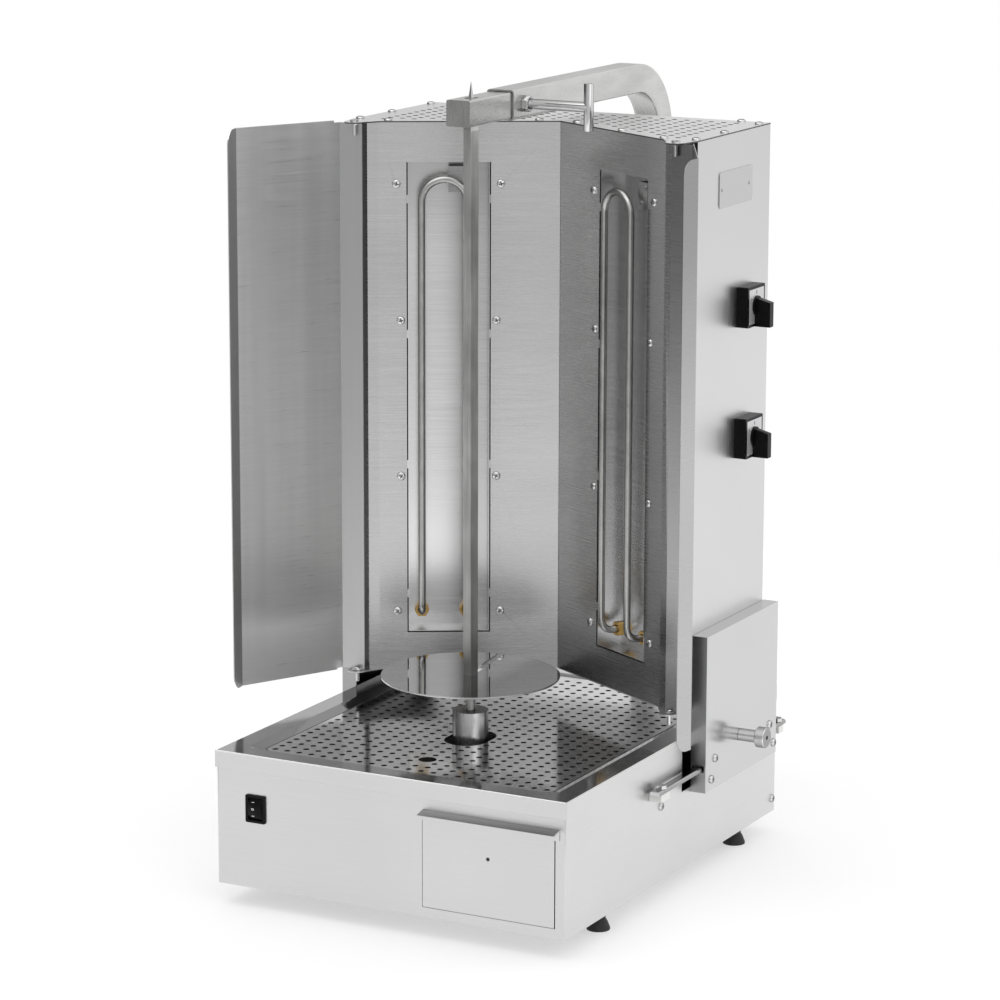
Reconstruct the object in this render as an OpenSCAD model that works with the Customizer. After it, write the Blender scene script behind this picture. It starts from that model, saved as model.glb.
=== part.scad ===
// Doner kebab grill: a base with a turning spit, and a heater cabinet that slides on two rails.
// +Z is up, +Y points to the back, and the origin is on the ground in the middle of the whole outline.

/* [Base] */
// Width of the base and of the cabinet
base_w = 450; // [400:10:520]
// Depth of the base
base_d = 572; // [540:4:640]
// Height of the base without its feet
base_h = 159; // [150:1:190]
// Thickness of the base sheet
sheet_t = 1.5; // [1:0.1:2]
// Height of a rubber foot
foot_h = 25; // [18:1:40]
// Width of a rubber foot at the ground
foot_d = 27; // [20:1:36]

/* [Tray] */
// Width of the mirror rim round the tray
rim_w = 25; // [15:1:35]
// Depth of the drip plate below the rim
plate_drop = 5; // [3:0.5:9]
// Depth of the fat pan below the drip plate
pan_depth = 27; // [15:1:32]
// Width of the slot that the spit drive comes through
drive_slot_w = 52; // [46:1:60]
// Length of the slot that the spit drive comes through
drive_slot_l = 72; // [60:1:90]
// Width of the finger hole for lifting the drip plate
finger_d = 21; // [16:1:26]

/* [Drawer] */
// Width of the drawer front
drawer_w = 166; // [120:2:166]
// Height of the drawer front
drawer_h = 111; // [80:1:112]
// Depth of the drawer box
drawer_l = 340; // [240:5:380]
// How far the drawer handle stands out
handle_out = 15; // [8:1:20]

/* [Spit] */
// Distance from the front of the base to the spit
spit_y = 198; // [180:1:230]
// Width of the square spit bar
spit_w = 12; // [8:1:14]
// Width of the meat disc
disc_d = 209; // [160:1:215]
// Height of the meat disc above the rim
disc_rise = 69.5; // [60:0.5:90]
// Width of the drive socket
socket_d = 42; // [32:1:44]
// Height of the drive socket above the rim
socket_rise = 29.5; // [24:0.5:40]

/* [Cabinet] */
// Height of the cabinet
cabinet_h = 667; // [560:1:760]
// Depth of the cabinet side panels
cabinet_d = 203; // [190:1:215]
// Distance from the front of the base to the cabinet sides
cabinet_y = 321.5; // [315:0.5:330]
// Thickness of the cabinet sheet
panel_t = 1.2; // [0.8:0.1:1.6]
// Width of a heater window
window_w = 100; // [80:1:110]
// Height of a heater window
window_h = 572; // [440:2:580]
// Width of a heating element tube
element_d = 8.5; // [6:0.5:10]
// Distance between the legs of a heating element
element_gap = 54; // [40:1:60]
// Width of a side box that rides on a rail
box_w = 19.5; // [18:0.5:26]
// Height of a side box
box_h = 188; // [150:1:200]

/* [Doors] */
// Width of the flat part of a door
door_w = 143; // [100:1:150]
// Angle of an open door from straight ahead
door_angle = 27; // [20:1:35]
// Width of the bent lip of a door
door_lip = 26.5; // [15:0.5:32]

/* [Arm] */
// Height of the middle of the arm above the ground
arm_z = 911.75; // [905:0.25:960]
// Width of the square arm tube
arm_w = 35; // [32:0.5:40]
// Wall of the arm tube
arm_t = 2; // [1.5:0.1:2.5]
// Radius of the two bends of the arm, at its middle
arm_r = 77.5; // [60:0.5:90]
// How far the spit bearing bar reaches in front of the spit
bar_nose = 31; // [24:1:40]

/* [Hidden] */
// Running clearance round a shaft, clearance beside a sliding piece, and overrun of a cut
run = 0.05;
gap = 0.3;
cut = 1;
// Fineness of round pieces
round_fn = 48;
small_fn = 32;
$fn = round_fn;

// Heights that the pieces share
base_z = foot_h;
rim_z = foot_h + base_h;
plate_z = rim_z - plate_drop;
plate_t = 1.5;
ledge_z = plate_z - plate_t;
pan_z = ledge_z - pan_depth;
cabinet_gap = 27;
floor_z = rim_z + cabinet_gap;
floor_t = 1.3;
cover_t = 1.5;
top_z = floor_z + cabinet_h;
panel_z0 = floor_z + floor_t;
panel_h = top_z - cover_t - panel_z0;

// Outline of the whole grill from front to back, which sets the origin
arm_behind = 108.5;
arm_back_y = base_d + arm_behind;
y_front = -handle_out;
y_back = arm_back_y + arm_w / 2;
y_shift = -(y_front + y_back) / 2;

// The V of heater panels: outer corner and apex
v_side = 26.4;
v_front = 12;
v_depth = 113.5;
corner_x = base_w / 2 - v_side;
corner_y = cabinet_y - v_front;
apex_y = corner_y + v_depth;
v_len = norm([corner_x, apex_y - corner_y]);
v_angle = atan2(apex_y - corner_y, corner_x);
back_y = cabinet_y + cabinet_d;
window_mid = 96.4;
window_rise = 46.2;
window_s = window_mid - window_w / 2;
window_z = floor_z + window_rise;

// Hinge line of a door, and the clearance of its ears
hinge_side = 16.4;
hinge_front = 23.9;
hinge_x = base_w / 2 - hinge_side;
hinge_y = cabinet_y - hinge_front;
pin_r = 2.5;
ear_t = 1.5;
ear_gap = 0.5;
low_ear_z = floor_z + floor_t + ear_gap;
high_ear_z = top_z - cover_t - ear_gap - ear_t;

// Screw heads
screw_r = 5;
screw_h = 2.8;
shank_r = 2;
shank_l = 5;
hole_r = 2.15;

// Colours
steel = "#c9cccd";
bright = "#e2e4e5";
dark_steel = "#8d9193";
black = "#1c1c1e";
golden = "#b98a3c";
white_plastic = "#e9e9e4";
bronze = "#a8794a";

// Moves a piece measured from the front of the base to its place about the origin
module place() translate([0, y_shift, 0]) children();

// Mirrors a right-hand piece to the left
module left() mirror([1, 0, 0]) children();

// A piece on both sides
module both_sides() {
    children();
    left() children();
}

// A flat outline with rounded corners, in the middle
module round_rect(w, d, r) {
    square([w - 2 * r, d], center = true);
    square([w, d - 2 * r], center = true);
    for (x = [-1, 1], y = [-1, 1])
        translate([x * (w / 2 - r), y * (d / 2 - r)]) circle(r, $fn = small_fn);
}

// A box by its lowest and highest corners
module span(low, high) translate(low) cube(high - low);

// The outline of a thin bent sheet that follows points, with its thickness to the left
function unit(v) = v / norm(v);
function turned(v) = [-v[1], v[0]];
function before(points, i) = unit(points[max(i, 1)] - points[max(i, 1) - 1]);
function after(points, i) = unit(points[min(i, len(points) - 2) + 1] - points[min(i, len(points) - 2)]);
function corner_side(points, i) =
    let (side = unit(turned(before(points, i)) + turned(after(points, i))))
    side / (side * turned(before(points, i)));
function sheet(points, t) = concat(points,
    [for (i = [len(points) - 1:-1:0]) points[i] + t * corner_side(points, i)]);

// A bent sheet standing up
module upright(points, t, z0, h) translate([0, 0, z0]) linear_extrude(h) polygon(sheet(points, t));

// A pan head on the XY plane, pointing up, with its shank below
head_share = [[0, 0], [1, 0], [1, 0.45], [0.82, 0.85], [0.5, 1], [0, 1]];
module screw(r = screw_r, h = screw_h) {
    rotate_extrude($fn = small_fn) polygon([for (p = head_share) [p[0] * r, p[1] * h]]);
    translate([0, 0, -shank_l]) cylinder(shank_l, r = shank_r, $fn = small_fn);
}
module screw_hole() translate([0, 0, -shank_l - cut])
    cylinder(shank_l + 2 * cut, r = hole_r, $fn = small_fn);

// Faces outwards to the right, with up staying up
module facing_right() rotate([90, 0, 90]) children();
// Faces forwards
module facing_front() rotate([90, 0, 0]) children();

// Places along the right heater panel: s runs from the outer corner to the apex, n to the meat
module on_panel() translate([corner_x, corner_y, 0]) rotate([0, 0, 180 - v_angle]) children();
function panel_point(s, n) = [corner_x - s * cos(v_angle) - n * sin(v_angle),
    corner_y + s * sin(v_angle) - n * cos(v_angle)];

// A quarter of a square or round tube: starts going down at the origin and ends going forwards
module elbow(r) translate([0, -r, 0]) rotate([-90, 0, 90]) rotate_extrude(angle = 90)
    translate([r, 0]) children();

// Base shell

floor_lip = 15;
corner_r = 2;
rocker_side = 52.1;
rocker_drop = 63.6;
rocker_x = -base_w / 2 + rocker_side;
rocker_z = rim_z - rocker_drop;
rocker_w = 26;
rocker_h = 33;
rocker_rim = 2;
drawer_side = 14.2;
drawer_rise = 12;
drawer_x = base_w / 2 - drawer_side - drawer_w / 2;
drawer_z = base_z + drawer_rise;
drawer_top = drawer_z + drawer_h;
opening_gap = 0.4;
opening_right = 1.3;
guide_front = 21.5;
guide_y = cabinet_y - guide_front;
guide_l = 245;
guide_h = 50;
guide_drop = 66;
guide_z = rim_z - guide_drop;
gland_side = 75;
gland_rise = 40;
gland_x = -base_w / 2 + gland_side;
gland_z = base_z + gland_rise;
gland_r = 9;
arm_rise = 75;
arm_base_z = base_z + arm_rise;
arm_hole_gap = 0.5;

module base_outline(inset, r) translate([0, base_d / 2])
    round_rect(base_w - 2 * inset, base_d - 2 * inset, r);

module base_shell() color(steel) place() difference() {
    union() {
        translate([0, 0, base_z]) linear_extrude(base_h - sheet_t) difference() {
            base_outline(0, corner_r);
            base_outline(sheet_t, corner_r / 2);
        }
        translate([0, 0, base_z]) linear_extrude(sheet_t) difference() {
            base_outline(0, corner_r);
            base_outline(floor_lip, corner_r);
        }
    }
    span([drawer_x - drawer_w / 2 - opening_gap, -cut, drawer_z - opening_gap],
        [drawer_x + drawer_w / 2 + opening_right, sheet_t + cut, drawer_top + opening_gap]);
    span([rocker_x - rocker_w / 2 + rocker_rim, -cut, rocker_z - rocker_h / 2 + rocker_rim],
        [rocker_x + rocker_w / 2 - rocker_rim, sheet_t + cut, rocker_z + rocker_h / 2 - rocker_rim]);
    both_sides() span([base_w / 2 - sheet_t - cut, guide_y, guide_z],
        [base_w / 2 + cut, guide_y + guide_l, guide_z + guide_h]);
    translate([0, base_d, arm_base_z]) rotate([90, 0, 0]) translate([0, 0, -cut])
        linear_extrude(sheet_t + 2 * cut)
        square(arm_w + 2 * arm_hole_gap, center = true);
    translate([gland_x, base_d + cut, gland_z]) rotate([90, 0, 0])
        cylinder(sheet_t + 2 * cut, r = gland_r);
    for (p = base_screw_places) both_sides() translate([base_w / 2, p[0], p[1]]) facing_right()
        screw_hole();
}

module bottom_plate() color(steel) place() translate([0, 0, base_z + sheet_t])
    linear_extrude(sheet_t) difference() {
    base_outline(sheet_t + gap, corner_r / 2);
    for (p = foot_places) translate(p) circle(hole_r);
}

// Rubber feet, each with its screw through the bottom plate

foot_in = 20;
foot_front = 123;
foot_back = 76;
foot_y = [foot_front, base_d - foot_back];
foot_places = [for (x = [-1, 1], y = foot_y) [x * (base_w / 2 - foot_in), y]];
foot_top_share = 0.8;
foot_waist_share = 0.6;
foot_waist_rise_share = 0.55;
foot_flare_rise_share = 0.18;
foot_screw_l = 2 * sheet_t;

module rubber_feet() color(black) place() for (p = foot_places) translate([p[0], p[1], 0]) {
    rotate_extrude($fn = small_fn) polygon([[0, 0], [foot_d / 2, 0],
        [foot_d / 2, foot_h * foot_flare_rise_share / 2],
        [foot_d / 2 * foot_top_share, foot_h * foot_flare_rise_share * 2],
        [foot_d / 2 * foot_waist_share, foot_h * foot_waist_rise_share],
        [foot_d / 2 * foot_top_share, foot_h], [0, foot_h]]);
    translate([0, 0, foot_h]) cylinder(foot_screw_l, r = shank_r);
}

// Tray with its mirror rim, sloped edge, ledge for the drip plate and fat pan below

lip_h = 20;
slope_w = 13;
ledge_w = 8;
recess_y = rim_w;
recess_back = 59;
recess_end = base_d - recess_back;
recess_r = 12;
recess_w = base_w - 2 * rim_w;
recess_l = recess_end - recess_y;
recess_mid = (recess_y + recess_end) / 2;
plate_gap = 1.2;
slope_end = slope_w + plate_gap;
pan_in = slope_w + ledge_w;
outlet_r = 28;
outlet_y = 130;
collar_out = 13;
collar_in = 10;
collar_h = 18;
thin = 0.02;

module recess_slab(inset, z, t) translate([0, recess_mid, z]) linear_extrude(t)
    round_rect(recess_w - 2 * inset, recess_l - 2 * inset, recess_r);

module top_tray() color(bright) place() difference() {
    union() {
        span([-base_w / 2, -sheet_t, rim_z - sheet_t], [base_w / 2, base_d + sheet_t, rim_z]);
        span([-base_w / 2 - sheet_t, -sheet_t, rim_z - lip_h], [base_w / 2 + sheet_t, 0, rim_z]);
        span([-base_w / 2, base_d, rim_z - lip_h], [base_w / 2, base_d + sheet_t, rim_z]);
        hull() {
            recess_slab(-sheet_t, rim_z - sheet_t, thin);
            recess_slab(slope_w - sheet_t, ledge_z - sheet_t, thin);
        }
        recess_slab(pan_in - sheet_t, pan_z - sheet_t, pan_depth);
        translate([0, spit_y, pan_z - sheet_t]) cylinder(collar_h, r = collar_out);
    }
    difference() {
        union() {
            hull() {
                recess_slab(0, rim_z, cut);
                recess_slab(slope_w, plate_z, thin);
            }
            recess_slab(slope_w, ledge_z, plate_drop);
            recess_slab(pan_in, pan_z, pan_depth + plate_drop);
        }
        translate([0, spit_y, pan_z - sheet_t - cut]) cylinder(collar_h + cut, r = collar_out);
    }
    translate([0, spit_y, pan_z - sheet_t - cut]) cylinder(collar_h + 2 * cut, r = collar_in);
    translate([drawer_x, outlet_y, pan_z - sheet_t - cut]) cylinder(sheet_t + 2 * cut, r = outlet_r);
}

finger_back = 104;
plate_r = 11;

module drip_plate() color(bright) place() translate([0, 0, ledge_z])
    linear_extrude(plate_t) difference() {
    translate([0, recess_mid]) round_rect(recess_w - 2 * slope_end, recess_l - 2 * slope_end, plate_r);
    for (y = [-1, 1]) translate([0, spit_y + y * (drive_slot_l - drive_slot_w) / 2])
        circle(drive_slot_w / 2);
    translate([0, spit_y]) square([drive_slot_w, drive_slot_l - drive_slot_w], center = true);
    translate([0, spit_y - finger_back]) circle(finger_d / 2);
}

// Drawer with its folded handle, box and runners

hem_t = 2.6;
hem_w = 6;
handle_over = 3.7;
handle_fall = 3.5;
handle_leg = 9;
handle_left_in = 0.7;
handle_right_out = 6.5;
pull_hole_r = 2.2;
pull_hole_drop = 43.3;
box_t = 1;
box_in = 6;
box_low = 3;
box_top_in = 22;
runner_t = 1.5;
runner_w = 12;
runner_h = 20;
box_z = drawer_z + box_low;
box_top = drawer_top - box_top_in;
box_x0 = drawer_x - drawer_w / 2 + box_in;
box_x1 = drawer_x + drawer_w / 2 - box_in;
handle_top = drawer_top + handle_over;
handle_x0 = drawer_x - drawer_w / 2 + handle_left_in;
handle_x1 = drawer_x + drawer_w / 2 + handle_right_out;
hem_rise = handle_fall * hem_w / handle_out;

module drawer_front() color(steel) place() difference() {
    union() {
        span([drawer_x - drawer_w / 2, 0, drawer_z], [drawer_x + drawer_w / 2, sheet_t, drawer_top]);
        span([handle_x0, -sheet_t - gap, drawer_top - handle_leg],
            [drawer_x + drawer_w / 2, 0, drawer_top]);
        span([handle_x0, -sheet_t - gap, drawer_top - handle_leg],
            [handle_x1, -gap, handle_top - sheet_t / 2]);
        translate([handle_x0, 0, 0]) facing_right() linear_extrude(handle_x1 - handle_x0)
            polygon([[-gap, handle_top], [-handle_out, handle_top - handle_fall],
                [-handle_out, handle_top - handle_fall - hem_t],
                [hem_w - handle_out, handle_top - handle_fall - hem_t + hem_rise],
                [hem_w - handle_out, handle_top - handle_fall - sheet_t + hem_rise],
                [-gap, handle_top - sheet_t]]);
    }
    translate([drawer_x, sheet_t + cut, drawer_top - pull_hole_drop]) rotate([90, 0, 0])
        cylinder(sheet_t + 2 * cut, r = pull_hole_r, $fn = small_fn);
}

module drawer_box() color(steel) place() difference() {
    span([box_x0, sheet_t, box_z], [box_x1, sheet_t + drawer_l, box_top]);
    span([box_x0 + box_t, sheet_t + box_t, box_z + box_t],
        [box_x1 - box_t, sheet_t + drawer_l - box_t, box_top + cut]);
}

module runner(x0, x1, wall_x) {
    span([x0, floor_lip + gap, box_z - gap - runner_t], [x1, sheet_t + drawer_l, box_z - gap]);
    span([wall_x, floor_lip + gap, base_z + 2 * sheet_t],
        [wall_x + runner_t, sheet_t + drawer_l, box_z + runner_h]);
}

module drawer_runners() color(dark_steel) place() {
    runner(box_x0 - gap - runner_t, box_x0 + runner_w, box_x0 - gap - runner_t);
    runner(box_x1 - runner_w, box_x1 + gap + runner_t, box_x1 + gap);
}

// Rocker switch of the spit motor, with three places

rocker_out = 2.5;
rocker_in = 20;
rocker_wall = 1.5;
paddle_gap = 0.4;
paddle_w = rocker_w - 2 * rocker_rim - 2 * rocker_wall - 2 * paddle_gap;
paddle_h = rocker_h - 2 * rocker_rim - 2 * rocker_wall - 3 * paddle_gap;
paddle_r = 30;
paddle_out = 3.2;
paddle_in = 3;
axle_r = 1.5;
axle_y = 2;

module rocker_housing() color(black) place() translate([rocker_x, 0, rocker_z]) difference() {
    union() {
        facing_front() linear_extrude(rocker_out) round_rect(rocker_w, rocker_h, corner_r);
        span([-rocker_w / 2 + rocker_rim + gap, 0, -rocker_h / 2 + rocker_rim + gap],
            [rocker_w / 2 - rocker_rim - gap, rocker_in, rocker_h / 2 - rocker_rim - gap]);
    }
    span([-paddle_w / 2 - paddle_gap, -rocker_out - cut, -paddle_h / 2 - 2 * paddle_gap],
        [paddle_w / 2 + paddle_gap, rocker_in - rocker_wall, paddle_h / 2 + 2 * paddle_gap]);
    translate([-rocker_w / 2, axle_y, 0]) rotate([0, 90, 0])
        cylinder(rocker_w, r = axle_r + run, $fn = small_fn);
}

module rocker_paddle() color(black) place() translate([rocker_x, axle_y, rocker_z]) {
    intersection() {
        translate([-paddle_w / 2, paddle_r - axle_y - paddle_out, 0]) rotate([0, 90, 0])
            cylinder(paddle_w, r = paddle_r);
        span([-paddle_w / 2, -paddle_r, -paddle_h / 2], [paddle_w / 2, paddle_in, paddle_h / 2]);
    }
    rotate([0, 90, 0]) translate([0, 0, -rocker_w / 2 + rocker_rim + gap])
        cylinder(rocker_w - 2 * rocker_rim - 2 * gap, r = axle_r, $fn = small_fn);
}

// Gear motor below the pan, its bracket, bearing, shaft and socket

bracket_t = 3;
bracket_foot = 16;
bracket_in = 4;
bracket_gap = 1.2;
motor_drop = 38;
motor_w = 2 * (box_x0 - gap - runner_t - bracket_gap - bracket_in);
motor_l = 110;
motor_h = 50;
motor_top = pan_z - motor_drop;
bearing_out = 14;
bearing_h = 12;
bearing_flange = 19;
bearing_flange_t = 3;
shaft_r = 8;
motor_can_share = 0.28;
motor_can_l = 70;
socket_top = rim_z + socket_rise;
socket_h = 46;
socket_z = socket_top - socket_h;
square_gap = 0.1;
spit_seat = 24;

module gear_motor() color(dark_steel) place() difference() {
    union() {
        span([-motor_w / 2, spit_y - motor_w / 2, motor_top - motor_h],
            [motor_w / 2, spit_y - motor_w / 2 + motor_l, motor_top]);
        translate([0, spit_y - motor_w / 2 + motor_l, motor_top - motor_h / 2]) rotate([-90, 0, 0])
            cylinder(motor_can_l, r = min(motor_w, 2 * motor_h) * motor_can_share);
    }
    translate([0, spit_y, motor_top - motor_h / 2]) cylinder(motor_h, r = shaft_r + run);
}

module motor_bracket() color(steel) place() difference() {
    union() {
        span([-motor_w / 2 - bracket_in, spit_y - motor_w / 2, motor_top],
            [motor_w / 2 + bracket_in, spit_y - motor_w / 2 + motor_l, motor_top + bracket_t]);
        both_sides() {
            span([motor_w / 2 + bracket_in - bracket_t, spit_y - motor_w / 2, base_z + 2 * sheet_t],
                [motor_w / 2 + bracket_in, spit_y - motor_w / 2 + motor_l, motor_top + bracket_t]);
            span([motor_w / 2 + bracket_in - bracket_t - bracket_foot, spit_y - motor_w / 2,
                base_z + 2 * sheet_t],
                [motor_w / 2 + bracket_in, spit_y - motor_w / 2 + motor_l,
                    base_z + 2 * sheet_t + bracket_t]);
        }
    }
    translate([0, spit_y, motor_top - cut]) cylinder(bracket_t + 2 * cut, r = bearing_out);
}

module shaft_bearing() color(bronze) place() translate([0, spit_y, motor_top]) difference() {
    union() {
        cylinder(bearing_h, r = bearing_out);
        translate([0, 0, bracket_t]) cylinder(bearing_flange_t, r = bearing_flange);
    }
    translate([0, 0, -cut]) cylinder(bearing_h + 2 * cut, r = shaft_r + run);
}

module drive_shaft() color(steel) place() translate([0, spit_y, motor_top - motor_h / 2 + gap])
    cylinder(socket_z - motor_top + motor_h / 2 - gap, r = shaft_r);

spit_turn = -17.3;

module drive_socket() color(bright) place() translate([0, spit_y, socket_z]) difference() {
    cylinder(socket_h, d = socket_d);
    rotate([0, 0, spit_turn]) translate([0, 0, socket_h - spit_seat]) linear_extrude(spit_seat + cut)
        square(spit_w + 2 * square_gap, center = true);
}

// Spit, its disc and the collar under the disc

disc_z = rim_z + disc_rise;
disc_t = 2;
neck_r = 4;
stem_r = 6;
disc_slot_w = 8.4;
disc_slot_turn = 7.5;
collar_r = 13;
disc_collar_h = 8;
tip_rise = 34.5;
tip_l = 56;
tip_top = arm_z + tip_rise;

module spit_rod() color(steel) place() translate([0, spit_y, 0]) rotate([0, 0, spit_turn]) {
    translate([0, 0, socket_top - spit_seat])
        linear_extrude(spit_seat + gap) square(spit_w, center = true);
    translate([0, 0, socket_top]) cylinder(disc_z - disc_collar_h - socket_top, r = stem_r);
    translate([0, 0, disc_z - disc_collar_h]) cylinder(disc_collar_h + disc_t + gap, r = neck_r);
    translate([0, 0, disc_z + disc_t])
        linear_extrude(tip_top - tip_l - disc_z - disc_t) square(spit_w, center = true);
    translate([0, 0, tip_top - tip_l]) rotate([0, 0, 45])
        cylinder(tip_l, r1 = spit_w / sqrt(2), r2 = 0, $fn = 4);
}

module spit_disc() color(bright) place() translate([0, spit_y, disc_z]) difference() {
    cylinder(disc_t, d = disc_d, $fn = 2 * round_fn);
    translate([0, 0, -cut]) cylinder(disc_t + 2 * cut, r = disc_slot_w / 2);
    rotate([0, 0, disc_slot_turn]) span([-disc_slot_w / 2, 0, -cut],
        [disc_slot_w / 2, disc_d, disc_t + cut]);
}

module disc_collar() color(steel) place() translate([0, spit_y, disc_z - disc_collar_h]) difference() {
    cylinder(disc_collar_h, r = collar_r);
    translate([0, 0, -cut]) cylinder(disc_collar_h + 2 * cut, r = neck_r + run);
}

// Rails beside the base, their blocks, and the screws of the base

rail_w = 12;
rail_t = 5;
rail_side = 4;
rail_drop = 45;
rail_short = 7;
rail_x = base_w / 2 + rail_side;
rail_z = rim_z - rail_drop;
rail_front = 205;
rail_end = base_d - rail_short;
rail_bevel = 1.5;
block_l = 24;
block_h = 9;
block_in = 6;
back_block_l = 14;
block_front = rail_front + block_in;
block_back = rail_end - block_in - back_block_l;
bolt_r = 4;
bolt_head_r = 6.5;
bolt_head_h = 4;
front_screw_out = 77.8;
front_screw_drop = 68.4;
back_screw_in = 9.3;
back_screw_rise = 16.6;
base_screw_places = [[cabinet_y - front_screw_out, rim_z - front_screw_drop],
    [base_d - back_screw_in, base_z + back_screw_rise]];

module guide_rails() color(bright) place() both_sides() difference() {
    translate([rail_x, rail_end, rail_z]) rotate([90, 0, 0]) linear_extrude(rail_end - rail_front)
        polygon([[0, 0], [rail_w, 0], [rail_w, rail_t - rail_bevel], [rail_w - rail_bevel, rail_t],
            [rail_bevel, rail_t], [0, rail_t - rail_bevel]]);
    for (y = [block_front + block_l / 2, block_back + back_block_l / 2])
        translate([rail_x + rail_w / 2, y, rail_z - cut])
            cylinder(rail_t + 2 * cut, r = bolt_r, $fn = small_fn);
}

module rail_blocks() color(white_plastic) place() both_sides() {
    span([base_w / 2, block_front, rail_z - block_h], [rail_x + rail_w, block_front + block_l, rail_z]);
    span([base_w / 2, block_back, rail_z - block_h],
        [rail_x + rail_w, block_back + back_block_l, rail_z]);
}

module hex_bolt() {
    cylinder(bolt_head_h, r = bolt_head_r, $fn = 6);
    translate([0, 0, -rail_t]) cylinder(rail_t, r = bolt_r, $fn = small_fn);
}

flange_bolt = 30;

module base_screws() color(bright) place()
    for (p = base_screw_places) both_sides() translate([base_w / 2, p[0], p[1]]) facing_right() screw();

module base_bolts() color(bright) place() {
    both_sides() for (y = [block_front + block_l / 2, block_back + back_block_l / 2])
        translate([rail_x + rail_w / 2, y, rail_z + rail_t]) hex_bolt();
    for (x = [-1, 1], z = [-1, 1])
        translate([x * flange_bolt, base_d + flange_t, arm_base_z + z * flange_bolt])
            rotate([-90, 0, 0]) cylinder(bolt_head_h, r = bolt_head_r, $fn = 6);
}

// Wiring pieces inside and at the back of the base

terminal_l = 60;
terminal_w = 18;
terminal_h = 22;
terminal_y = 380;
terminal_count = 5;
terminal_hole_r = 3;
gland_nut_r = 12;
gland_nut_t = 6;
gland_l = 16;
gland_bore = 4;

module terminal_block() color(white_plastic) place()
    translate([gland_x, terminal_y, base_z + 2 * sheet_t]) difference() {
    span([-terminal_w / 2, 0, 0], [terminal_w / 2, terminal_l, terminal_h]);
    for (i = [0:terminal_count - 1])
        translate([0, terminal_l * (2 * i + 1) / (2 * terminal_count), terminal_h / 2])
            cylinder(terminal_h, r = terminal_hole_r, $fn = small_fn);
}

module cable_gland() color(black) place() translate([gland_x, base_d, gland_z])
    rotate([-90, 0, 0]) difference() {
    union() {
        translate([0, 0, -gland_nut_t - sheet_t]) cylinder(gland_nut_t + sheet_t, r = gland_r - gap);
        translate([0, 0, -gland_nut_t - sheet_t]) cylinder(gland_nut_t, r = gland_nut_r, $fn = 6);
        cylinder(gland_nut_t, r = gland_nut_r, $fn = 6);
        cylinder(gland_l, r = gland_r);
    }
    translate([0, 0, -gland_nut_t - sheet_t - cut])
        cylinder(gland_l + gland_nut_t + sheet_t + 2 * cut, r = gland_bore);
}

// Arm: bent square tube, its saddle and flange on the base, bearing bar and clamp screw

arm_r_out = 4;
mouth_behind = 71;
arm_mouth = spit_y + mouth_behind;
arm_inner_y = arm_back_y - arm_r;
stub_in = 140;
arm_stub_y = base_d - stub_in;
saddle_t = 3;
saddle_l = 60;
saddle_in = 110;
saddle_y = base_d - saddle_in;
saddle_foot = 18;
flange_t = 4;
flange_w = 80;
clamp_in = 26;
clamp_y = arm_mouth + clamp_in;
clamp_r = 6;
nut_r = 9.8;
nut_l = 8;
bar_gap = 0.5;
bar_w = arm_w - 2 * arm_t - 2 * bar_gap;
bar_t = 2.5;
bar_l = 250;
bar_front = spit_y - bar_nose;
cap_t = 2;
bar_hole_low = 19;
bar_hole_top = 14;
bar_play = 3;
t_rod_end = 100;
t_bar_r = 5.8;
t_bar_l = 54;

module arm_ring() difference() {
    round_rect(arm_w, arm_w, arm_r_out);
    round_rect(arm_w - 2 * arm_t, arm_w - 2 * arm_t, arm_r_out - arm_t);
}

module arm_tube() color(steel) place() difference() {
    union() {
        translate([0, arm_inner_y, arm_z]) rotate([90, 0, 0])
            linear_extrude(arm_inner_y - arm_mouth) arm_ring();
        translate([0, arm_back_y, arm_z - arm_r]) mirror([0, 0, 1]) elbow(arm_r) arm_ring();
        translate([0, arm_back_y, arm_base_z + arm_r])
            linear_extrude(arm_z - arm_base_z - 2 * arm_r) arm_ring();
        translate([0, arm_back_y, arm_base_z + arm_r]) elbow(arm_r) arm_ring();
        translate([0, arm_inner_y, arm_base_z]) rotate([90, 0, 0])
            linear_extrude(arm_inner_y - arm_stub_y) arm_ring();
    }
    translate([arm_w / 2 - arm_t - cut, clamp_y, arm_z]) rotate([0, 90, 0])
        cylinder(arm_t + 2 * cut, r = clamp_r + run);
}

module arm_saddle() color(dark_steel) place() {
    both_sides() {
        span([arm_w / 2, saddle_y, base_z + 2 * sheet_t],
            [arm_w / 2 + saddle_t, saddle_y + saddle_l, arm_base_z + arm_w / 2]);
        span([arm_w / 2, saddle_y, base_z + 2 * sheet_t],
            [arm_w / 2 + saddle_foot, saddle_y + saddle_l, base_z + 2 * sheet_t + saddle_t]);
    }
    span([-arm_w / 2, saddle_y, arm_base_z - arm_w / 2 - saddle_t],
        [arm_w / 2, saddle_y + saddle_l, arm_base_z - arm_w / 2]);
}

module arm_flange() color(steel) place() translate([0, base_d + flange_t, arm_base_z])
    rotate([90, 0, 0])
    linear_extrude(flange_t) difference() {
        round_rect(flange_w, flange_w, arm_r_out);
        round_rect(arm_w, arm_w, arm_r_out);
    }

module bar_hole(d, z) translate([0, spit_y, z]) linear_extrude(bar_t + 2 * cut) {
    for (y = [-bar_play, bar_play]) translate([0, y]) circle(d / 2, $fn = round_fn);
    square([d, 2 * bar_play], center = true);
}

module arm_bar() color(steel) place() difference() {
    translate([0, bar_front + bar_l, arm_z]) rotate([90, 0, 0])
        linear_extrude(bar_l - cap_t) difference() {
        round_rect(bar_w, bar_w, arm_r_out - arm_t);
        square(bar_w - 2 * bar_t, center = true);
    }
    bar_hole(bar_hole_low, arm_z - bar_w / 2 - cut);
    bar_hole(bar_hole_top, arm_z + bar_w / 2 - bar_t - cut);
}

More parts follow.
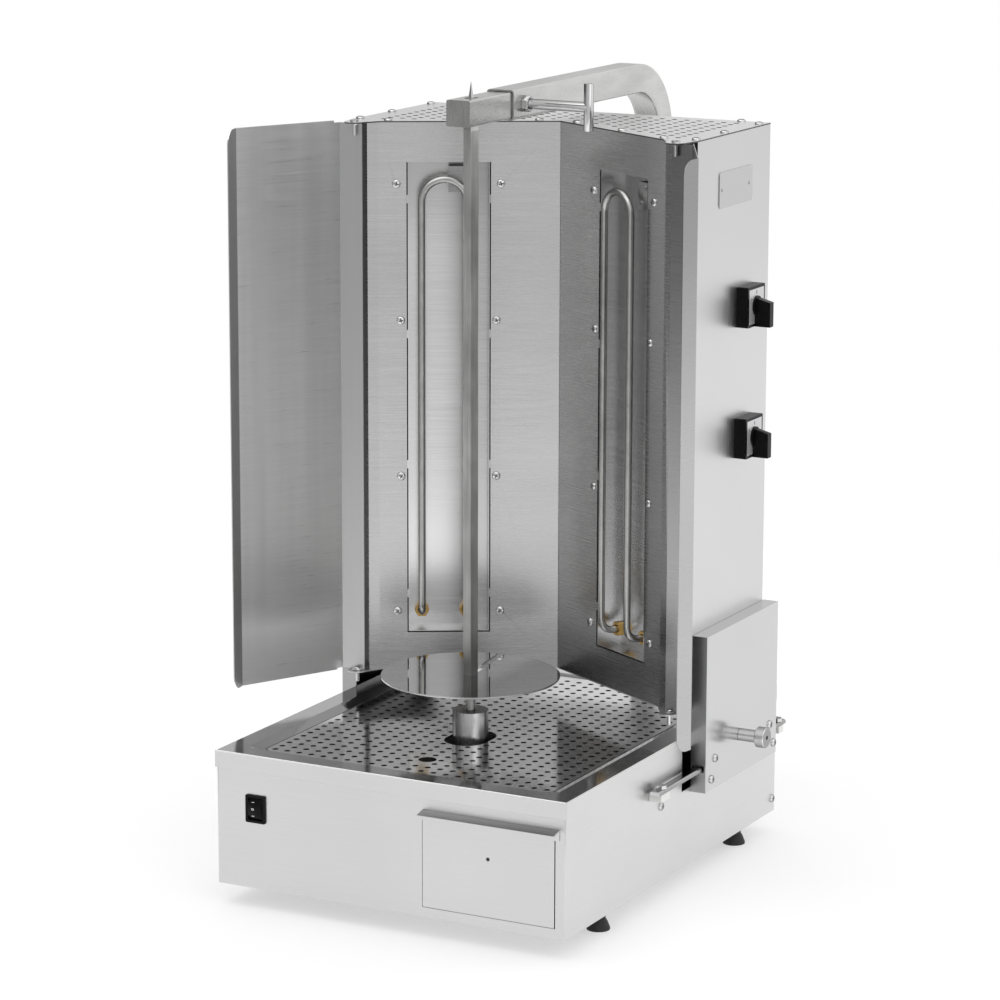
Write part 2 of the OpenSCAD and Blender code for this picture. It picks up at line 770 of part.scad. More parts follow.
module arm_end_cap() color(steel) place() translate([0, bar_front + cap_t, arm_z]) rotate([90, 0, 0])
    linear_extrude(cap_t) round_rect(bar_w, bar_w, arm_r_out - arm_t);

module clamp_nut() color(bright) place() translate([arm_w / 2, clamp_y, arm_z])
    rotate([0, 90, 0]) difference() {
    cylinder(nut_l, r = nut_r, $fn = 6);
    translate([0, 0, -cut]) cylinder(nut_l + 2 * cut, r = clamp_r + run);
}

module clamp_screw() color(bright) place() translate([0, clamp_y, arm_z]) {
    translate([bar_w / 2 + gap, 0, 0]) rotate([0, 90, 0])
        cylinder(t_rod_end - bar_w / 2 - gap, r = clamp_r);
    translate([t_rod_end, 0, -t_bar_l / 2]) cylinder(t_bar_l, r = t_bar_r);
}

// Cabinet shell: side panels with a front flange, back panel, cover and floor

side_flange = 23;
back_flange = 14;
tab_in = 14;
tab_front = 11.6;
tab_side = 12;
cover_over = 1;
cover_screw_in = 6;
v_screw_shares = [0.11, 0.48, 0.89];
side_screw_shares = [0.04, 0.42, 0.9];
back_screw_share = 0.845;
cover_points = concat(
    [for (y_share = side_screw_shares) [base_w / 2 - cover_screw_in, cabinet_y + y_share * cabinet_d]],
    [[base_w / 2 * back_screw_share, back_y - cover_screw_in]],
    [for (s_share = v_screw_shares) panel_point(s_share * v_len, -cover_screw_in)]);

module side_panel() difference() {
    upright([[base_w / 2 - side_flange, cabinet_y], [base_w / 2, cabinet_y], [base_w / 2, back_y]],
        panel_t, panel_z0, panel_h);
    for (z = switch_z) translate([base_w / 2, switch_y, z]) rotate([0, 90, 0])
        translate([0, 0, -panel_t - cut]) cylinder(panel_t + 2 * cut, r = switch_neck_r);
}

module side_panel_right() color(steel) place() side_panel();
module side_panel_left() color(steel) place() left() difference() {
    upright([[base_w / 2 - side_flange, cabinet_y], [base_w / 2, cabinet_y], [base_w / 2, back_y]],
        panel_t, panel_z0, panel_h);
}

module back_panel() color(steel) place() upright([[base_w / 2 - panel_t - gap, back_y - back_flange],
    [base_w / 2 - panel_t - gap, back_y], [-base_w / 2 + panel_t + gap, back_y],
    [-base_w / 2 + panel_t + gap, back_y - back_flange]], panel_t, panel_z0, panel_h);

// Half of the cover or floor outline, up to the middle plane
module lid_half(over) difference() {
    union() {
        polygon([[0, apex_y - over], [corner_x - tab_in, corner_y + tab_in * tan(v_angle) - over],
            [hinge_x - tab_side, hinge_y], [hinge_x, hinge_y], [hinge_x + tab_side, hinge_y],
            [base_w / 2, cabinet_y], [base_w / 2, back_y], [0, back_y]]);
        translate([hinge_x, hinge_y]) circle(tab_side, $fn = round_fn);
    }
    translate([hinge_x, hinge_y]) circle(pin_r + run, $fn = small_fn);
}

module lid(over) {
    lid_half(over);
    left() lid_half(over);
}

module top_cover() color(bright) place() difference() {
    translate([0, 0, top_z - cover_t]) linear_extrude(cover_t) lid(cover_over);
    for (p = cover_points) both_sides() translate([p[0], p[1], top_z]) screw_hole();
}

module cabinet_floor() color(steel) place() translate([0, 0, floor_z]) linear_extrude(floor_t) lid(0);

module cover_screws() color(bright) place()
    for (p = cover_points) both_sides() translate([p[0], p[1], top_z]) screw();

// Hinge pins through the tabs, each with a head on the outside

pin_l = 16;
pin_head_r = 5;
low_head_r = 3.2;
pin_head_h = 2;

module pin(head_r) {
    translate([0, 0, -pin_l]) cylinder(pin_l, r = pin_r, $fn = small_fn);
    cylinder(pin_head_h, r = head_r, $fn = small_fn);
}

module hinge_pins() color(bright) place() both_sides() {
    translate([hinge_x, hinge_y, top_z]) pin(pin_head_r);
    translate([hinge_x, hinge_y, low_ear_z + ear_t]) pin(low_head_r);
}

// Heater panels in a V, with a fold at the outer edge

fold_s = 12.8;
fold_n = 1.6;
return_n = 9.5;
panel_screw_s = [62, 57, 57, 62];
panel_screw_shares = [0.047, 0.338, 0.669, 0.955];
panel_screws_at = [for (i = [0:len(panel_screw_shares) - 1], side = [-1, 1])
    [window_s + window_w / 2 + side * panel_screw_s[i], window_z + panel_screw_shares[i] * window_h]];
apex_gap = 0.2;

module heater_panel() difference() {
    on_panel() difference() {
        upright([[v_len, 0], [fold_s, 0], [0, -fold_n],
            [-fold_n, -return_n]], panel_t, panel_z0, panel_h);
        span([window_s, -panel_t - cut, window_z], [window_s + window_w, cut, window_z + window_h]);
        for (p = panel_screws_at) translate([p[0], cut, p[1]]) rotate([90, 0, 0])
            cylinder(panel_t + 2 * cut, r = hole_r, $fn = small_fn);
    }
    span([-base_w, corner_y, floor_z], [apex_gap, back_y, top_z]);
}

module heater_panel_right() color(steel) place() heater_panel();
module heater_panel_left() color(steel) place() left() heater_panel();

module panel_screws() color(bright) place() both_sides() on_panel() for (p = panel_screws_at)
    translate([p[0], 0, p[1]]) rotate([-90, 0, 0]) screw();

// Reflector box behind a window

reflector_d = 18;
reflector_t = 1;
reflector_over = 1;
reflector_rise = 3.8;
reflector_in = 1.4;
reflector_tab_w = 5;
reflector_tab_h = 10;
reflector_tab_shares = [0.085, 0.363, 0.64, 0.923];
r_s0 = window_s + reflector_in;
r_s1 = window_s + window_w - reflector_in;
r_z0 = window_z + reflector_in;
r_z1 = window_z + window_h + reflector_over;

module reflector() on_panel() difference() {
    union() {
        difference() {
            span([r_s0, -panel_t - reflector_d, r_z0], [r_s1, -panel_t, r_z1]);
            span([r_s0 + reflector_t, reflector_t - panel_t - reflector_d, r_z0 + reflector_t],
                [r_s1 - reflector_t, cut, r_z1 - reflector_t]);
        }
        translate([r_s0, 0, 0]) rotate([90, 0, 90]) linear_extrude(r_s1 - r_s0)
            polygon([[-panel_t, r_z0], [-panel_t, r_z0 + reflector_t],
                [-panel_t - reflector_d, r_z0 + reflector_rise],
                [-panel_t - reflector_d, r_z0]]);
        for (share = reflector_tab_shares) translate([0, -panel_t - reflector_t, share * window_h]) {
            span([r_s0 - reflector_tab_w, 0, window_z - reflector_tab_h / 2],
                [r_s0 + reflector_t, reflector_t, window_z + reflector_tab_h / 2]);
            span([r_s1 - reflector_t, 0, window_z - reflector_tab_h / 2],
                [r_s1 + reflector_tab_w, reflector_t, window_z + reflector_tab_h / 2]);
        }
    }
    for (p = fitting_places) translate([p[0], -panel_t - reflector_d - cut, p[1]]) rotate([-90, 0, 0])
        cylinder(reflector_t + 2 * cut, r = fitting_r + gap);
}

module reflector_right() color(bright) place() reflector();
module reflector_left() color(bright) place() left() reflector();

// Heating elements: an inverted U whose legs bend back into brass fittings

element_n = 12;
element_s = 91;
element_drop = 14.8;
element_top = window_z + window_h - element_drop;
elbow_r = 16;
fitting_rise = 25.6;
fitting_z = window_z + fitting_rise;
fitting_r = 6;
fitting_hex_r = 9.2;
fitting_hex_l = 9;
fitting_back = 10;
fitting_gap = 0.3;
element_r = element_d / 2;
leg_s = [element_s - element_gap / 2, element_s + element_gap / 2];
fitting_places = [for (s = leg_s) [s, fitting_z]];
element_reach = reflector_d + panel_t + element_n - reflector_t;
arc_z = element_top - element_r - element_gap / 2;

module heating_element() on_panel() {
    translate([element_s, element_n, arc_z]) rotate([90, 0, 0]) rotate_extrude(angle = 180)
        translate([element_gap / 2, 0]) circle(element_r, $fn = small_fn);
    for (s = leg_s) translate([s, element_n, 0]) {
        translate([0, 0, fitting_z + elbow_r])
            cylinder(arc_z - fitting_z - elbow_r, r = element_r - thin, $fn = small_fn);
        translate([0, 0, fitting_z + elbow_r]) elbow(elbow_r) circle(element_r, $fn = small_fn);
        translate([0, -elbow_r, fitting_z]) rotate([90, 0, 0])
            cylinder(element_reach - elbow_r, r = element_r, $fn = small_fn);
    }
}

module heating_element_right() color(dark_steel) place() heating_element();
module heating_element_left() color(dark_steel) place() left() heating_element();

module element_fittings() color(golden) place() both_sides() on_panel() for (p = fitting_places)
    translate([p[0], reflector_t - panel_t - reflector_d, p[1]]) rotate([-90, 0, 0]) difference() {
        union() {
            cylinder(fitting_hex_l, r = fitting_hex_r, $fn = 6);
            translate([0, 0, -reflector_t - fitting_back])
                cylinder(reflector_t + fitting_back, r = fitting_r);
        }
        translate([0, 0, -reflector_t - fitting_back - cut])
            cylinder(reflector_t + fitting_back + fitting_hex_l + 2 * cut, r = element_r + fitting_gap);
    }

// Brackets that hold the top of each element, both with their screws to the right

bracket_h = 31;
bracket_top = 5;
bracket_n = -0.55;
tab_t = 1.5;
bracket_at = [96, 67.5];
bracket_w = [24, bracket_at[1] - r_s0 - reflector_t - gap];
bracket_screw_r = 3;
bracket_screw_h = 1.6;
bracket_screw_shares = [[0.58, 0.21], [0.26, 0.8]];

module element_bracket(side, w) translate([0, 0, window_z + window_h - bracket_top]) scale([side, 1, 1]) {
    span([0, bracket_n - tab_t, -bracket_h], [w, bracket_n, 0]);
    span([0, reflector_t - panel_t - reflector_d, -bracket_h], [tab_t, bracket_n, 0]);
    for (p = bracket_screw_shares) translate([p[0] * bracket_w[0], bracket_n, -p[1] * bracket_h])
        rotate([-90, 0, 0]) cylinder(bracket_screw_h, r = bracket_screw_r, $fn = small_fn);
}

module element_brackets() color(steel) place() {
    left() on_panel() translate([bracket_at[0], 0, 0]) element_bracket(1, bracket_w[0]);
    on_panel() translate([bracket_at[1], 0, 0]) element_bracket(-1, bracket_w[1]);
}

// Side boxes that hang beside the base and ride on the rails

box_t2 = 1.2;
box_set = 1.8;
box_y = cabinet_y + box_set;
box_d = 204;
box_drop = 71.3;
box_bottom = rim_z - box_drop;
box_top_z = box_bottom + box_h;
slot_gap = 1.5;
box_screw_in = [26.8, 16.9, 19.9, 7.5];
box_screw_drop = [34.8, 58.1, 32.4, 57.9];
box_screw_places = [for (i = [0:3])
    [i < 2 ? box_y + box_screw_in[i] : box_y + box_d - box_screw_in[i], rim_z - box_screw_drop[i]]];
knob_behind = 99.5;
knob_drop = 23.3;
knob_y = cabinet_y + knob_behind;
knob_z = rim_z - knob_drop;
knob_bore = 4;

module side_box() difference() {
    span([base_w / 2 + gap, box_y, box_bottom], [base_w / 2 + box_w, box_y + box_d, box_top_z]);
    span([base_w / 2 - cut, box_y + box_t2, box_bottom + box_t2],
        [base_w / 2 + box_w - box_t2, box_y + box_d - box_t2, box_top_z - box_t2]);
    span([rail_x - slot_gap, box_y - cut, rail_z - slot_gap],
        [rail_x + rail_w + slot_gap, box_y + box_d + cut, rail_z + rail_t + slot_gap]);
    for (p = box_screw_places) translate([base_w / 2 + box_w, p[0], p[1]]) facing_right() screw_hole();
}

module side_box_right() color(steel) place() difference() {
    side_box();
    translate([base_w / 2, knob_y, knob_z]) rotate([0, 90, 0])
        cylinder(box_w + cut, r = knob_bore + run);
}
module side_box_left() color(steel) place() left() side_box();

module side_box_screws() color(bright) place() both_sides() for (p = box_screw_places)
    translate([base_w / 2 + box_w, p[0], p[1]]) facing_right() screw();

// Sliding blocks in the boxes, which run on the rails

slide_l = 30;
slide_in = 8;
slide_side = 1;
slide_y = [box_y + slide_in, box_y + box_d - slide_in - slide_l];
slide_gap = 0.3;
slide_up = 20;
slide_low = 20;

module slide_blocks() color(white_plastic) place() both_sides() for (y = slide_y) difference() {
    span([base_w / 2 + slide_side, y, rail_z - slide_low],
        [base_w / 2 + box_w - box_t2, y + slide_l, rail_z + slide_up]);
    span([rail_x - slide_gap, y - cut, rail_z - slide_gap],
        [rail_x + rail_w + slide_gap, y + slide_l + cut, rail_z + rail_t + slide_gap]);
    for (p = box_screw_places) translate([base_w / 2 + box_w, p[0], p[1]]) facing_right() screw_hole();
}

// Lock knob, and the plate inside the base that it pulls against the wall

knob_rod_r = 7.5;
knob_rod_l = 22.5;
knob_head_r = 12.5;
knob_head_l = 12;
knob_chamfer = 1;
knob_hole_r = 2.5;
lock_w = 40;
lock_h = 62;
lock_t = 4;
lock_z = guide_z + guide_h / 2;
knob_seat = 0.3;

module lock_knob() color(bright) place()
    translate([base_w / 2 + box_w + knob_seat, knob_y, knob_z]) rotate([0, 90, 0]) difference() {
    union() {
        cylinder(knob_rod_l, r = knob_rod_r);
        translate([0, 0, knob_rod_l]) rotate_extrude() polygon([[0, 0], [knob_head_r - knob_chamfer, 0],
            [knob_head_r, knob_chamfer], [knob_head_r, knob_head_l - knob_chamfer],
            [knob_head_r - knob_chamfer, knob_head_l], [0, knob_head_l]]);
        translate([0, 0, -box_w - sheet_t - lock_t - knob_seat])
            cylinder(box_w + sheet_t + lock_t + knob_seat, r = knob_bore);
    }
    translate([0, 0, knob_rod_l]) cylinder(knob_head_l + cut, r = knob_hole_r);
}

module lock_plate() color(steel) place() difference() {
    span([base_w / 2 - sheet_t - gap - lock_t, knob_y - lock_w / 2, lock_z - lock_h / 2],
        [base_w / 2 - sheet_t - gap, knob_y + lock_w / 2, lock_z + lock_h / 2]);
    translate([base_w / 2 - sheet_t - gap - lock_t - cut, knob_y, knob_z]) rotate([0, 90, 0])
        cylinder(lock_t + 2 * cut, r = knob_bore + run);
}

// Two rotary switches on the right side panel

switch_behind = 136.5;
switch_drop = [207, 363];
switch_y = cabinet_y + switch_behind;
switch_z = [for (drop = switch_drop) top_z - drop];
switch_w = 48;
switch_t = 15;
switch_r = 2;
switch_neck_r = 15;
switch_in_w = 42;
switch_in_l = 38;
hub_r = 12;
hub_l = 2;
lever_w = 10;
lever_top = 10;
lever_low = 24;
lever_out = 19.5;
lever_slope = 5;
lever_bore = 3;

module switch_body(z) translate([base_w / 2, switch_y, z]) difference() {
    union() {
        facing_right() linear_extrude(switch_t) round_rect(switch_w, switch_w, switch_r);
        rotate([0, -90, 0]) cylinder(panel_t + cut, r = switch_neck_r - gap);
        span([-switch_in_l, -switch_in_w / 2, -switch_in_w / 2],
            [-panel_t, switch_in_w / 2, switch_in_w / 2]);
    }
    translate([-switch_in_l / 2, 0, 0]) rotate([0, 90, 0]) cylinder(switch_in_l, r = lever_bore + run);
}

module switch_lever(z) translate([base_w / 2 + switch_t + gap, switch_y, z]) {
    rotate([0, 90, 0]) cylinder(hub_l, r = hub_r);
    translate([-switch_t - switch_in_l / 4, 0, 0]) rotate([0, 90, 0])
        cylinder(switch_t + switch_in_l / 4 + hub_l, r = lever_bore);
    translate([0, lever_w / 2, 0]) rotate([90, 0, 0]) linear_extrude(lever_w)
        polygon([[0, -lever_low], [lever_out, -lever_low], [lever_out, lever_top - lever_slope],
            [0, lever_top]]);
}

module switch_body_upper() color(black) place() switch_body(switch_z[0]);
module switch_body_lower() color(black) place() switch_body(switch_z[1]);
module switch_lever_upper() color(black) place() switch_lever(switch_z[0]);
module switch_lever_lower() color(black) place() switch_lever(switch_z[1]);

// Plain plate on the right side panel

blank_l = 92;
blank_h = 42;
blank_t = 1;
blank_behind = 105;
blank_drop = 64;
blank_y = cabinet_y + blank_behind;
blank_z = top_z - blank_drop;
rivet_r = 2;
rivet_h = 0.8;

module blank_plate() color(bright) place() translate([base_w / 2, blank_y, blank_z]) facing_right() {
    linear_extrude(blank_t) round_rect(blank_l, blank_h, arm_r_out);
    for (x = [-1, 1]) translate([x * (blank_l / 2 - 2 * arm_r_out), 0, blank_t])
        cylinder(rivet_h, r = rivet_r, $fn = small_fn);
}

// Doors: strip behind the pin, flat part, lip with rounded corners, and an ear at each end

strip_in = 7.1;
strip_back = 4.6;
strip_out = 20.6;
strip_fold_back = 0.8;
lip_turn = -11;
lip_r = 18;
notch_w = 8;
door_bottom = floor_z;
door_rise = 0.5;
door_top = top_z + door_rise;
ear_front = 5.5;
ear_side = 6;

function along(p, angle, l) = [p[0] + l * sin(angle), p[1] - l * cos(angle)];
strip_end = [hinge_x - strip_in, hinge_y + strip_back];
fold_1 = [hinge_x + strip_out, hinge_y + strip_fold_back];
notch_end = along(fold_1, door_angle, notch_w);
fold_2 = along(fold_1, door_angle, door_w);
lip_end = along(fold_2, lip_turn, door_lip);

module lip_corner(z, up) {
    // The outer corner of the lip is cut to a quarter circle
    translate([fold_2[0], fold_2[1], z]) rotate([0, 0, lip_turn])
        translate([0, -door_lip, 0]) scale([1, 1, up])
        difference() {
            span([-door_lip, -cut, -cut], [door_lip, lip_r, lip_r]);
            translate([-door_lip - cut, lip_r, lip_r]) rotate([0, 90, 0])
                cylinder(2 * door_lip + 2 * cut, r = lip_r);
        }
}

module ear(z) translate([0, 0, z]) linear_extrude(ear_t) difference() {
    union() {
        translate([hinge_x, hinge_y]) circle(ear_side, $fn = small_fn);
        polygon([[hinge_x - ear_side, hinge_y], [hinge_x + ear_side, hinge_y],
            [hinge_x + ear_side, hinge_y + strip_back], [hinge_x - ear_side, hinge_y + strip_back]]);
    }
    translate([hinge_x, hinge_y]) circle(pin_r + run, $fn = small_fn);
}

module door() {
    difference() {
        union() {
            upright([strip_end, fold_1, notch_end], panel_t, low_ear_z, high_ear_z + ear_t - low_ear_z);
            upright([notch_end, fold_2, lip_end], panel_t, door_bottom, door_top - door_bottom);
        }
        lip_corner(door_bottom, 1);
        translate([0, 0, 2 * door_top]) mirror([0, 0, 1]) lip_corner(door_top, 1);
    }
    ear(low_ear_z);
    ear(high_ear_z);
}

module door_right() color(steel) place() door();
module door_left() color(steel) place() left() door();

base_shell();
bottom_plate();
top_tray();
drip_plate();
drawer_front();
drawer_box();
drawer_runners();
rocker_housing();
rocker_paddle();
gear_motor();
motor_bracket();
shaft_bearing();
drive_shaft();
drive_socket();
rubber_feet();
guide_rails();
rail_blocks();
base_screws();
base_bolts();
terminal_block();
cable_gland();
arm_tube();
arm_saddle();
arm_flange();
arm_bar();
arm_end_cap();
clamp_nut();
clamp_screw();
side_panel_left();
side_panel_right();
back_panel();
top_cover();
cover_screws();
cabinet_floor();
heater_panel_left();
heater_panel_right();
reflector_left();
reflector_right();
heating_element_left();
heating_element_right();
element_fittings();
element_brackets();
panel_screws();
side_box_left();
side_box_right();
side_box_screws();
slide_blocks();
lock_knob();
lock_plate();
switch_body_upper();
switch_body_lower();
switch_lever_upper();
switch_lever_lower();
blank_plate();
door_left();
door_right();
hinge_pins();
spit_rod();
spit_disc();
disc_collar();
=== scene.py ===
import math

import bpy
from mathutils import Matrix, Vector


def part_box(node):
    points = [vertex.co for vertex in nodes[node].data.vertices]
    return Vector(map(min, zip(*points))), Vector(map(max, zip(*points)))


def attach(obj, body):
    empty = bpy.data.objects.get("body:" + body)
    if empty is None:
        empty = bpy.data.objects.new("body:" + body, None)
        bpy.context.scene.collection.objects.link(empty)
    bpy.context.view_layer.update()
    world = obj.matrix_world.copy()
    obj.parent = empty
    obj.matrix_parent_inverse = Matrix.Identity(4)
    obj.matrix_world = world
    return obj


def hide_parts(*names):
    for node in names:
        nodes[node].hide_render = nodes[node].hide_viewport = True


mm = 0.001
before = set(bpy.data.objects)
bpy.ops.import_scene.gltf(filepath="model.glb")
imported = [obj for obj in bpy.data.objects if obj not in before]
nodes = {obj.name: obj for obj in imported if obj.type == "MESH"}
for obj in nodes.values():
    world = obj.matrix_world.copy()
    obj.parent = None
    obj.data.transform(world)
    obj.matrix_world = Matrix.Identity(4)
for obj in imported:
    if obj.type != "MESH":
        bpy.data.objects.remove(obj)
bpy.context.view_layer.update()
scene = bpy.context.scene
print("frame loaded", len(nodes), "nodes")

# The base's front face in the row frame, from which the places below are measured
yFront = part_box("base_shell")[0].y


def spot(x, y, z):
    return Vector((x * mm, yFront + y * mm, z * mm))


# Materials

grainLook = {
    "detail": 5, "cloudDetail": 2, "roughness": 0.6, "roughSpread": (0.85, 1.15), "bumpDepth": 0.05,
    # The facing range over which painted shade darkens faces seen at a slant
    "edgeRange": (0.15, 0.75),
}
speckLook = {
    "stretch": (900, 900, 900), "detail": 2, "contrast": 0.05, "roughSpread": (0.9, 1.1), "gloss": 0.5,
}


def freshMaterial(name):
    material = bpy.data.materials.new(name)
    material.use_nodes = True
    tree = material.node_tree
    return material, tree, tree.nodes["Principled BSDF"]


def grainNoise(tree, stretch, detail):
    coord = tree.nodes.new("ShaderNodeTexCoord")
    mapping = tree.nodes.new("ShaderNodeMapping")
    mapping.inputs["Scale"].default_value = stretch
    noise = tree.nodes.new("ShaderNodeTexNoise")
    noise.inputs["Scale"].default_value = 1
    noise.inputs["Detail"].default_value = detail
    noise.inputs["Roughness"].default_value = grainLook["roughness"]
    tree.links.new(coord.outputs["Object"], mapping.inputs["Vector"])
    tree.links.new(mapping.outputs["Vector"], noise.inputs["Vector"])
    return noise.outputs["Fac"]


def rangeOf(tree, source, lowOut, highOut, lowIn=0.3, highIn=0.7, smooth=False):
    node = tree.nodes.new("ShaderNodeMapRange")
    if smooth:
        node.interpolation_type = "SMOOTHSTEP"
    node.inputs["From Min"].default_value = lowIn
    node.inputs["From Max"].default_value = highIn
    node.inputs["To Min"].default_value = lowOut
    node.inputs["To Max"].default_value = highOut
    tree.links.new(source, node.inputs["Value"])
    return node.outputs["Result"]


def multiplied(tree, first, second):
    both = tree.nodes.new("ShaderNodeMath")
    both.operation = "MULTIPLY"
    tree.links.new(first, both.inputs[0])
    tree.links.new(second, both.inputs[1])
    return both.outputs["Value"]


def tinted(tree, color, strength):
    tint = tree.nodes.new("ShaderNodeVectorMath")
    tint.operation = "SCALE"
    tint.inputs[0].default_value = color
    tree.links.new(strength, tint.inputs["Scale"])
    return tint.outputs["Vector"]


# Painted shade: faces seen at a slant are darkened, standing in for the dark sides of round metal pieces
def paintedSlantShade(tree, strength, edge):
    facing = tree.nodes.new("ShaderNodeLayerWeight")
    fade = rangeOf(tree, facing.outputs["Facing"], 1, edge, *grainLook["edgeRange"])
    return multiplied(tree, strength, fade)


# Painted light and shade: a ramp along an axis of the piece brightens or darkens its steel
def paintedFall(tree, strength, fall):
    coord = tree.nodes.new("ShaderNodeTexCoord")
    split = tree.nodes.new("ShaderNodeSeparateXYZ")
    tree.links.new(coord.outputs["Object"], split.inputs["Vector"])
    ramp = rangeOf(tree, split.outputs[fall["axis"]], *fall["to"], *fall["from"], smooth=True)
    return multiplied(tree, strength, ramp)


def brushedSteel(name, look):
    material, tree, shader = freshMaterial(name)
    grain = grainNoise(tree, look["stretch"], grainLook["detail"])
    cloud = grainNoise(tree, look["clouds"], grainLook["cloudDetail"])
    shade = rangeOf(tree, grain, 1 - look["contrast"], 1 + look["contrast"])
    drift = rangeOf(tree, cloud, 1 - look["drift"], 1 + look["drift"])
    strength = multiplied(tree, shade, drift)
    if "edge" in look:
        strength = paintedSlantShade(tree, strength, look["edge"])
    for fall in look.get("paintedFalls", []):
        strength = paintedFall(tree, strength, fall)
    tree.links.new(tinted(tree, look["color"], strength), shader.inputs["Base Color"])
    rough = rangeOf(tree, grain, *(look["rough"] * share for share in grainLook["roughSpread"]))
    tree.links.new(rough, shader.inputs["Roughness"])
    bump = tree.nodes.new("ShaderNodeBump")
    bump.inputs["Strength"].default_value = look["bump"]
    bump.inputs["Distance"].default_value = grainLook["bumpDepth"] * mm
    tree.links.new(grain, bump.inputs["Height"])
    tree.links.new(bump.outputs["Normal"], shader.inputs["Normal"])
    shader.inputs["Metallic"].default_value = 1
    return material


def plainLook(name, look):
    material, tree, shader = freshMaterial(name)
    shader.inputs["Metallic"].default_value = look.get("metal", 0)
    shader.inputs["Specular IOR Level"].default_value = look.get("gloss", speckLook["gloss"])
    speck = grainNoise(tree, speckLook["stretch"], speckLook["detail"])
    contrast = look.get("contrast", speckLook["contrast"])
    shade = rangeOf(tree, speck, 1 - contrast, 1 + contrast)
    tree.links.new(tinted(tree, look["color"], shade), shader.inputs["Base Color"])
    rough = rangeOf(tree, speck, *(look["rough"] * share for share in speckLook["roughSpread"]))
    tree.links.new(rough, shader.inputs["Roughness"])
    return material
